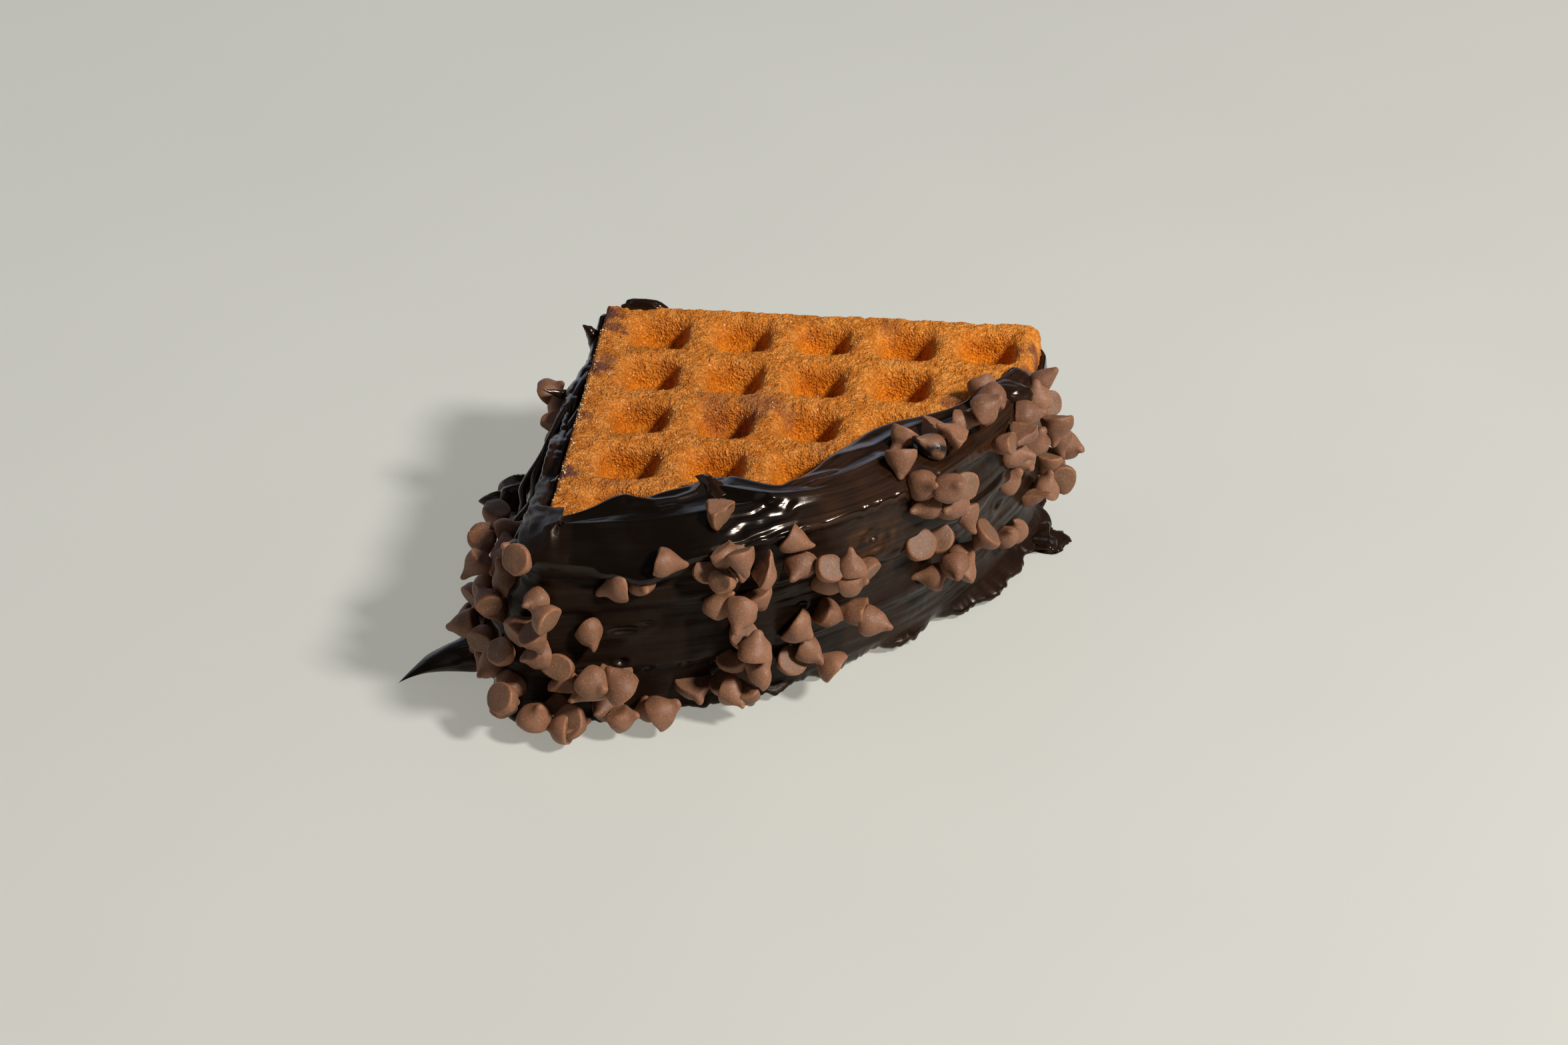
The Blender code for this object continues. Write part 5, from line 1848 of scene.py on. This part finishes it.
    def build(self, finish: bpy.types.Material) -> bpy.types.Object:
        """Makes all the chips as one mesh.

        Formula: each ring of the profile is a circle of its share of the radius, moved sideways by the bent
        tip's lean times a power of the height's share, swollen by slow noise, cut off by a rough upright face
        where the chip is broken, then turned and moved to its place.

        Args:
            finish: the chips' material.

        Returns:
            The finished piece.
        """
        placed = self.placed()
        count, sides = len(placed), self.sides
        draw = np.random.default_rng(self.seed + 2)
        profile = np.array(self.profile)
        turn = np.linspace(0, 2 * math.pi, sides, endpoint=False)
        circle = np.stack([np.cos(turn), np.sin(turn)], axis=-1)
        bulk = draw.uniform(0.80, 1.04, count)
        tall = draw.uniform(0.88, 1.08, count)
        bend = draw.uniform(0.2, 1.9, count) * MM
        towards = draw.uniform(0, 2 * math.pi, count)
        fat = draw.uniform(0.9, 1.12, count)
        share = profile[:, 1]
        widths = profile[:, 0] ** fat[:, None]
        flat = circle[None, None] * (widths * (self.radius * bulk)[:, None])[..., None, None]
        lean = np.stack([np.cos(towards), np.sin(towards)], axis=-1) * bend[:, None]
        flat = flat + (lean[:, None, :] * (share**self.bend_power)[None, :, None])[:, :, None, :]
        high = share[None, :] * (self.height * tall)[:, None] - self.middle
        high = np.broadcast_to(high[..., None], flat.shape[:3])
        rings = np.concatenate([flat, high[..., None]], axis=-1).reshape(count, -1, 3)
        ends = np.zeros((count, 2, 3))
        ends[:, 0, 2] = -self.middle
        ends[:, 1, 2] = self.height * tall - self.middle
        ends[:, 1, :2] = lean
        local = np.concatenate([rings, ends], axis=1)
        seeds = local / (2.2 * MM) + draw.uniform(0, 90, (count, 1, 3))
        swell = 1 + 0.14 * smooth_noise(seeds, 91)
        local = local * swell[..., None] * draw.uniform(*self.sizes, (count, 3))[:, None, :]
        broken = draw.uniform(0, 1, count) < self.broken_share
        reach = np.where(broken, draw.uniform(0.1, 0.55, count), 9.0) * self.radius
        rough = 0.16 * MM * smooth_noise(local / (0.9 * MM), 92)
        local[..., 0] = np.minimum(local[..., 0], reach[:, None] + rough)
        turned = np.stack([matrix for _, matrix in placed])
        points = np.einsum("kij,knj->kni", turned, local) + np.stack([middle for middle, _ in placed])[:, None, :]
        lowest = points[..., 2].min(axis=1)
        points[..., 2] += np.maximum(0, self.floor_gap - lowest)[:, None]
        piece = make_mesh("chocolate_chips", points.reshape(-1, 3), self.faces(count, len(profile)))
        self.paint_chips(piece, draw, count, local)
        piece.data.materials.append(finish)
        settle(piece, CHOCOLATE_SLOT, "chocolate")
        return piece

    def faces(self, count: int, rings: int) -> list:
        """The faces of all the chips.

        Args:
            count: how many chips.
            rings: how many rings each has.

        Returns:
            Lists of four vertex numbers, then lists of three.
        """
        one = capped_rings(rings, self.sides)
        quads = np.array([face for face in one if len(face) == 4])
        ends = np.array([face for face in one if len(face) == 3])
        starts = np.arange(count)[:, None, None] * (rings * self.sides + 2)
        return (quads[None] + starts).reshape(-1, 4).tolist() + (ends[None] + starts).reshape(-1, 3).tolist()

    def paint_chips(self, piece: bpy.types.Object, draw: np.random.Generator, count: int, local: Array) -> None:
        """Stores each vertex's tone, foot, painted edge glow and smudge.

        Args:
            piece: the chips.
            draw: the random draws.
            count: how many chips.
            local: each chip's vertices before they were turned, in metres.
        """
        rings = len(self.profile)
        foot_row, edge_glow_row = np.zeros(rings), np.zeros(rings)
        foot_row[:2] = 1.0
        # Where the painted glow of light through the thin foot edge goes: the foot's rim rows
        edge_glow_row[2:4] = (1.0, 0.6)
        foot = np.concatenate([np.repeat(foot_row, self.sides), [1.0, 0.0]])
        edge = np.concatenate([np.repeat(edge_glow_row, self.sides), [0.0, 0.0]])
        tone = np.repeat(draw.uniform(0.15, 0.95, count), len(foot))
        smeared = 1.0 * (draw.uniform(0, 1, count) < self.smudged_share)
        patches = rough_noise(local / (2.2 * MM) + draw.uniform(0, 50, (count, 1, 3)), 93, 2)
        patch = smooth_step(patches, 0.2, 0.3)
        paint(piece, "tone", tone)
        paint(piece, "foot", np.tile(foot, count))
        # The painted glow of light at the foot's thin edge
        paint(piece, "edge", np.tile(edge, count))
        paint(piece, "smudge", patch * smeared[:, None])


# ---- sugar


@dataclass
class Sugar:
    """Grains of sugar on the top layer's ribs and along its left edge, all in one piece."""

    layer: WaffleLayer
    count: int = 420
    smallest: float = 0.10 * MM
    largest: float = 0.24 * MM
    reach: float = 66 * MM
    seed: int = 5

    def build(self, finish: bpy.types.Material) -> bpy.types.Object:
        """Makes the grains: little eight-faced bodies, more of them along the left cut edge.

        Args:
            finish: the grains' material.

        Returns:
            The finished piece.
        """
        draw = np.random.default_rng(self.seed)
        stack = self.layer.stack
        edge = self.count // 3
        rest = self.count - edge
        across = np.concatenate([draw.uniform(0.0, 1.3 * MM, edge), draw.uniform(3 * MM, 66 * MM, rest)])
        forward = np.concatenate([draw.uniform(10 * MM, 72 * MM, edge), draw.uniform(3 * MM, 60 * MM, rest)])
        inside = np.hypot(across, forward) < self.reach
        inside |= np.arange(self.count) < edge
        across, forward = across[inside], forward[inside]
        drop = self.layer.edge_drop(across, forward)
        across, forward, depth = self.layer.sunk(across, forward)
        height = stack.layer - drop + depth + self.layer.rough(across, forward, depth)
        size = draw.uniform(self.smallest, self.largest, len(across))
        corners = np.array([(1, 0, 0), (0, 1, 0), (-1, 0, 0), (0, -1, 0), (0, 0, 1), (0, 0, -1.0)])
        shapes = corners[None] * draw.uniform(0.7, 1.2, (len(across), 6, 1)) * size[:, None, None]
        middles = stack.world(across, forward, self.layer.bottom + height + 0.3 * size)
        points = shapes + middles[:, None, :]
        faces = np.array([(0, 1, 4), (1, 2, 4), (2, 3, 4), (3, 0, 4), (1, 0, 5), (2, 1, 5), (3, 2, 5), (0, 3, 5)])
        starts = np.arange(len(across))[:, None, None] * 6
        piece = make_mesh("sugar_grains", points.reshape(-1, 3), (faces[None] + starts).reshape(-1, 3).tolist())
        piece.data.materials.append(finish)
        settle(piece, WAFFLE_SLOT, "waffle_top")
        return piece


# ---- surroundings


@dataclass
class Studio:
    """The plain floor, the soft lights and the camera, which stands as the photograph's did."""

    camera_place: Place = (0.0569, -0.5379, 0.3598)
    camera_way: Place = (-0.0802, 0.8363, -0.5424)
    lens: float = 77.2
    sensor: float = 36.0
    floor_half: float = 1.6
    floor_colour: Colour = (0.345, 0.350, 0.335)
    floor_glow: Colour = (0.295, 0.290, 0.255)
    floor_roughness: float = 0.5
    floor_specular: float = 0.25
    key_way: Place = (0.66, -0.38, 0.72)
    key_distance: float = 1.3
    key_size: float = 0.20
    key_power: float = 20.5
    key_colour: Colour = (1.0, 0.955, 0.89)
    dim: Colour = (0.050, 0.052, 0.055)
    # Each glow's direction, the cosines where it starts and is full, and its colour
    glows: tuple[tuple[Place, float, float, Colour], ...] = (
        ((-0.88, 0.02, 0.47), 0.80, 0.98, (0.42, 0.42, 0.44)),
        ((-0.30, 0.95, 0.06), 0.85, 0.98, (0.62, 0.72, 0.90)),
        ((0.48, 0.28, 0.83), 0.80, 0.98, (0.24, 0.24, 0.26)),
    )

    def floor(self) -> None:
        """Makes the pale floor, with a faint glow of its own for the light that is scattered into the shadow."""
        half = self.floor_half
        mesh = bpy.data.meshes.new("floor")
        mesh.from_pydata([(-half, -half, 0), (half, -half, 0), (half, half, 0), (-half, half, 0)], [], [(0, 1, 2, 3)])
        floor = bpy.data.objects.new("floor", mesh)
        bpy.context.scene.collection.objects.link(floor)
        graph = Graph("pale_floor")
        tone = graph.ranged(graph.noise(0.12, 2), 0.3, 0.7, 0.97, 1.03)
        graph.set("Base Color", graph.shaded(self.floor_colour, tone, tone, tone))
        graph.set("Roughness", self.floor_roughness)
        graph.set("Specular IOR Level", self.floor_specular)
        graph.set("Emission Color", self.floor_glow)
        graph.set("Emission Strength", 1.0)
        mesh.materials.append(graph.material)

    def key(self) -> None:
        """Adds the key light, a round area light that looks at the object from its direction."""
        data = bpy.data.lights.new("key", "AREA")
        data.shape = "DISK"
        data.size = self.key_size
        data.energy = self.key_power
        data.color = self.key_colour
        lamp = bpy.data.objects.new("key", data)
        direction = Vector(self.key_way).normalized()
        lamp.location = direction * self.key_distance
        lamp.rotation_mode = "QUATERNION"
        lamp.rotation_quaternion = direction.to_track_quat("Z", "Y")
        bpy.context.scene.collection.objects.link(lamp)

    def sky(self) -> None:
        """Makes the surroundings: dim, with soft glows that fade out round their directions."""
        world = bpy.data.worlds.new("sky")
        world.use_nodes = True
        tree = world.node_tree
        ways = tree.nodes.new("ShaderNodeTexCoord").outputs["Generated"]
        colour = None
        for way, start, full, glow in self.glows:
            facing = tree.nodes.new("ShaderNodeVectorMath")
            facing.operation = "DOT_PRODUCT"
            facing.inputs[1].default_value = Vector(way).normalized()
            share = tree.nodes.new("ShaderNodeMapRange")
            share.interpolation_type = "SMOOTHSTEP"
            share.inputs[1].default_value = start
            share.inputs[2].default_value = full
            mix = tree.nodes.new("ShaderNodeMix")
            mix.data_type = "RGBA"
            mix.inputs[6].default_value = (*self.dim, 1)
            mix.inputs[7].default_value = (*glow, 1)
            tree.links.new(ways, facing.inputs[0])
            tree.links.new(facing.outputs["Value"], share.inputs[0])
            tree.links.new(share.outputs[0], mix.inputs[0])
            if colour is not None:
                tree.links.new(colour, mix.inputs[6])
            colour = mix.outputs[2]
        tree.links.new(colour, tree.nodes["Background"].inputs["Color"])
        bpy.context.scene.world = world

    def camera(self) -> None:
        """Places the camera."""
        data = bpy.data.cameras.new("camera")
        data.lens = self.lens
        data.sensor_width = self.sensor
        camera = bpy.data.objects.new("camera", data)
        camera.location = self.camera_place
        camera.rotation_mode = "QUATERNION"
        camera.rotation_quaternion = (-Vector(self.camera_way)).to_track_quat("Z", "Y")
        bpy.context.scene.collection.objects.link(camera)
        bpy.context.scene.camera = camera

    def build(self) -> None:
        """Sets up floor, key light, sky and camera."""
        self.floor()
        self.key()
        self.sky()
        bpy.context.scene.view_settings.view_transform = "Standard"
        self.camera()


def main() -> None:
    """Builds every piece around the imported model."""
    logging.basicConfig(level=logging.INFO, format="%(name)s: %(message)s")
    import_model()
    stack = Stack()
    shape = CoatShape(stack)
    crumb = BakedCrumb().build()
    spread = DarkSpread().build()
    top = WaffleLayer(stack, "top_crumb", "waffle_top", 2, Looks.UP, cells=264)
    layers = (
        WaffleLayer(stack, "bottom_crumb", "waffle_bottom", 0, Looks.DOWN, cells=150, side_rows=8),
        WaffleLayer(stack, "middle_crumb", "waffle_middle", 1, Looks.PLAIN, cells=60, side_rows=8),
        top,
    )
    for layer in layers:
        layer.build(crumb)
    Coat(shape).build(spread)
    Squeezed(stack, spread).build()
    Chips(shape).build(MilkChocolate().build())
    Sugar(top).build(SugarGrain().build())
    Studio().build()


if __name__ == "__main__":
    main()
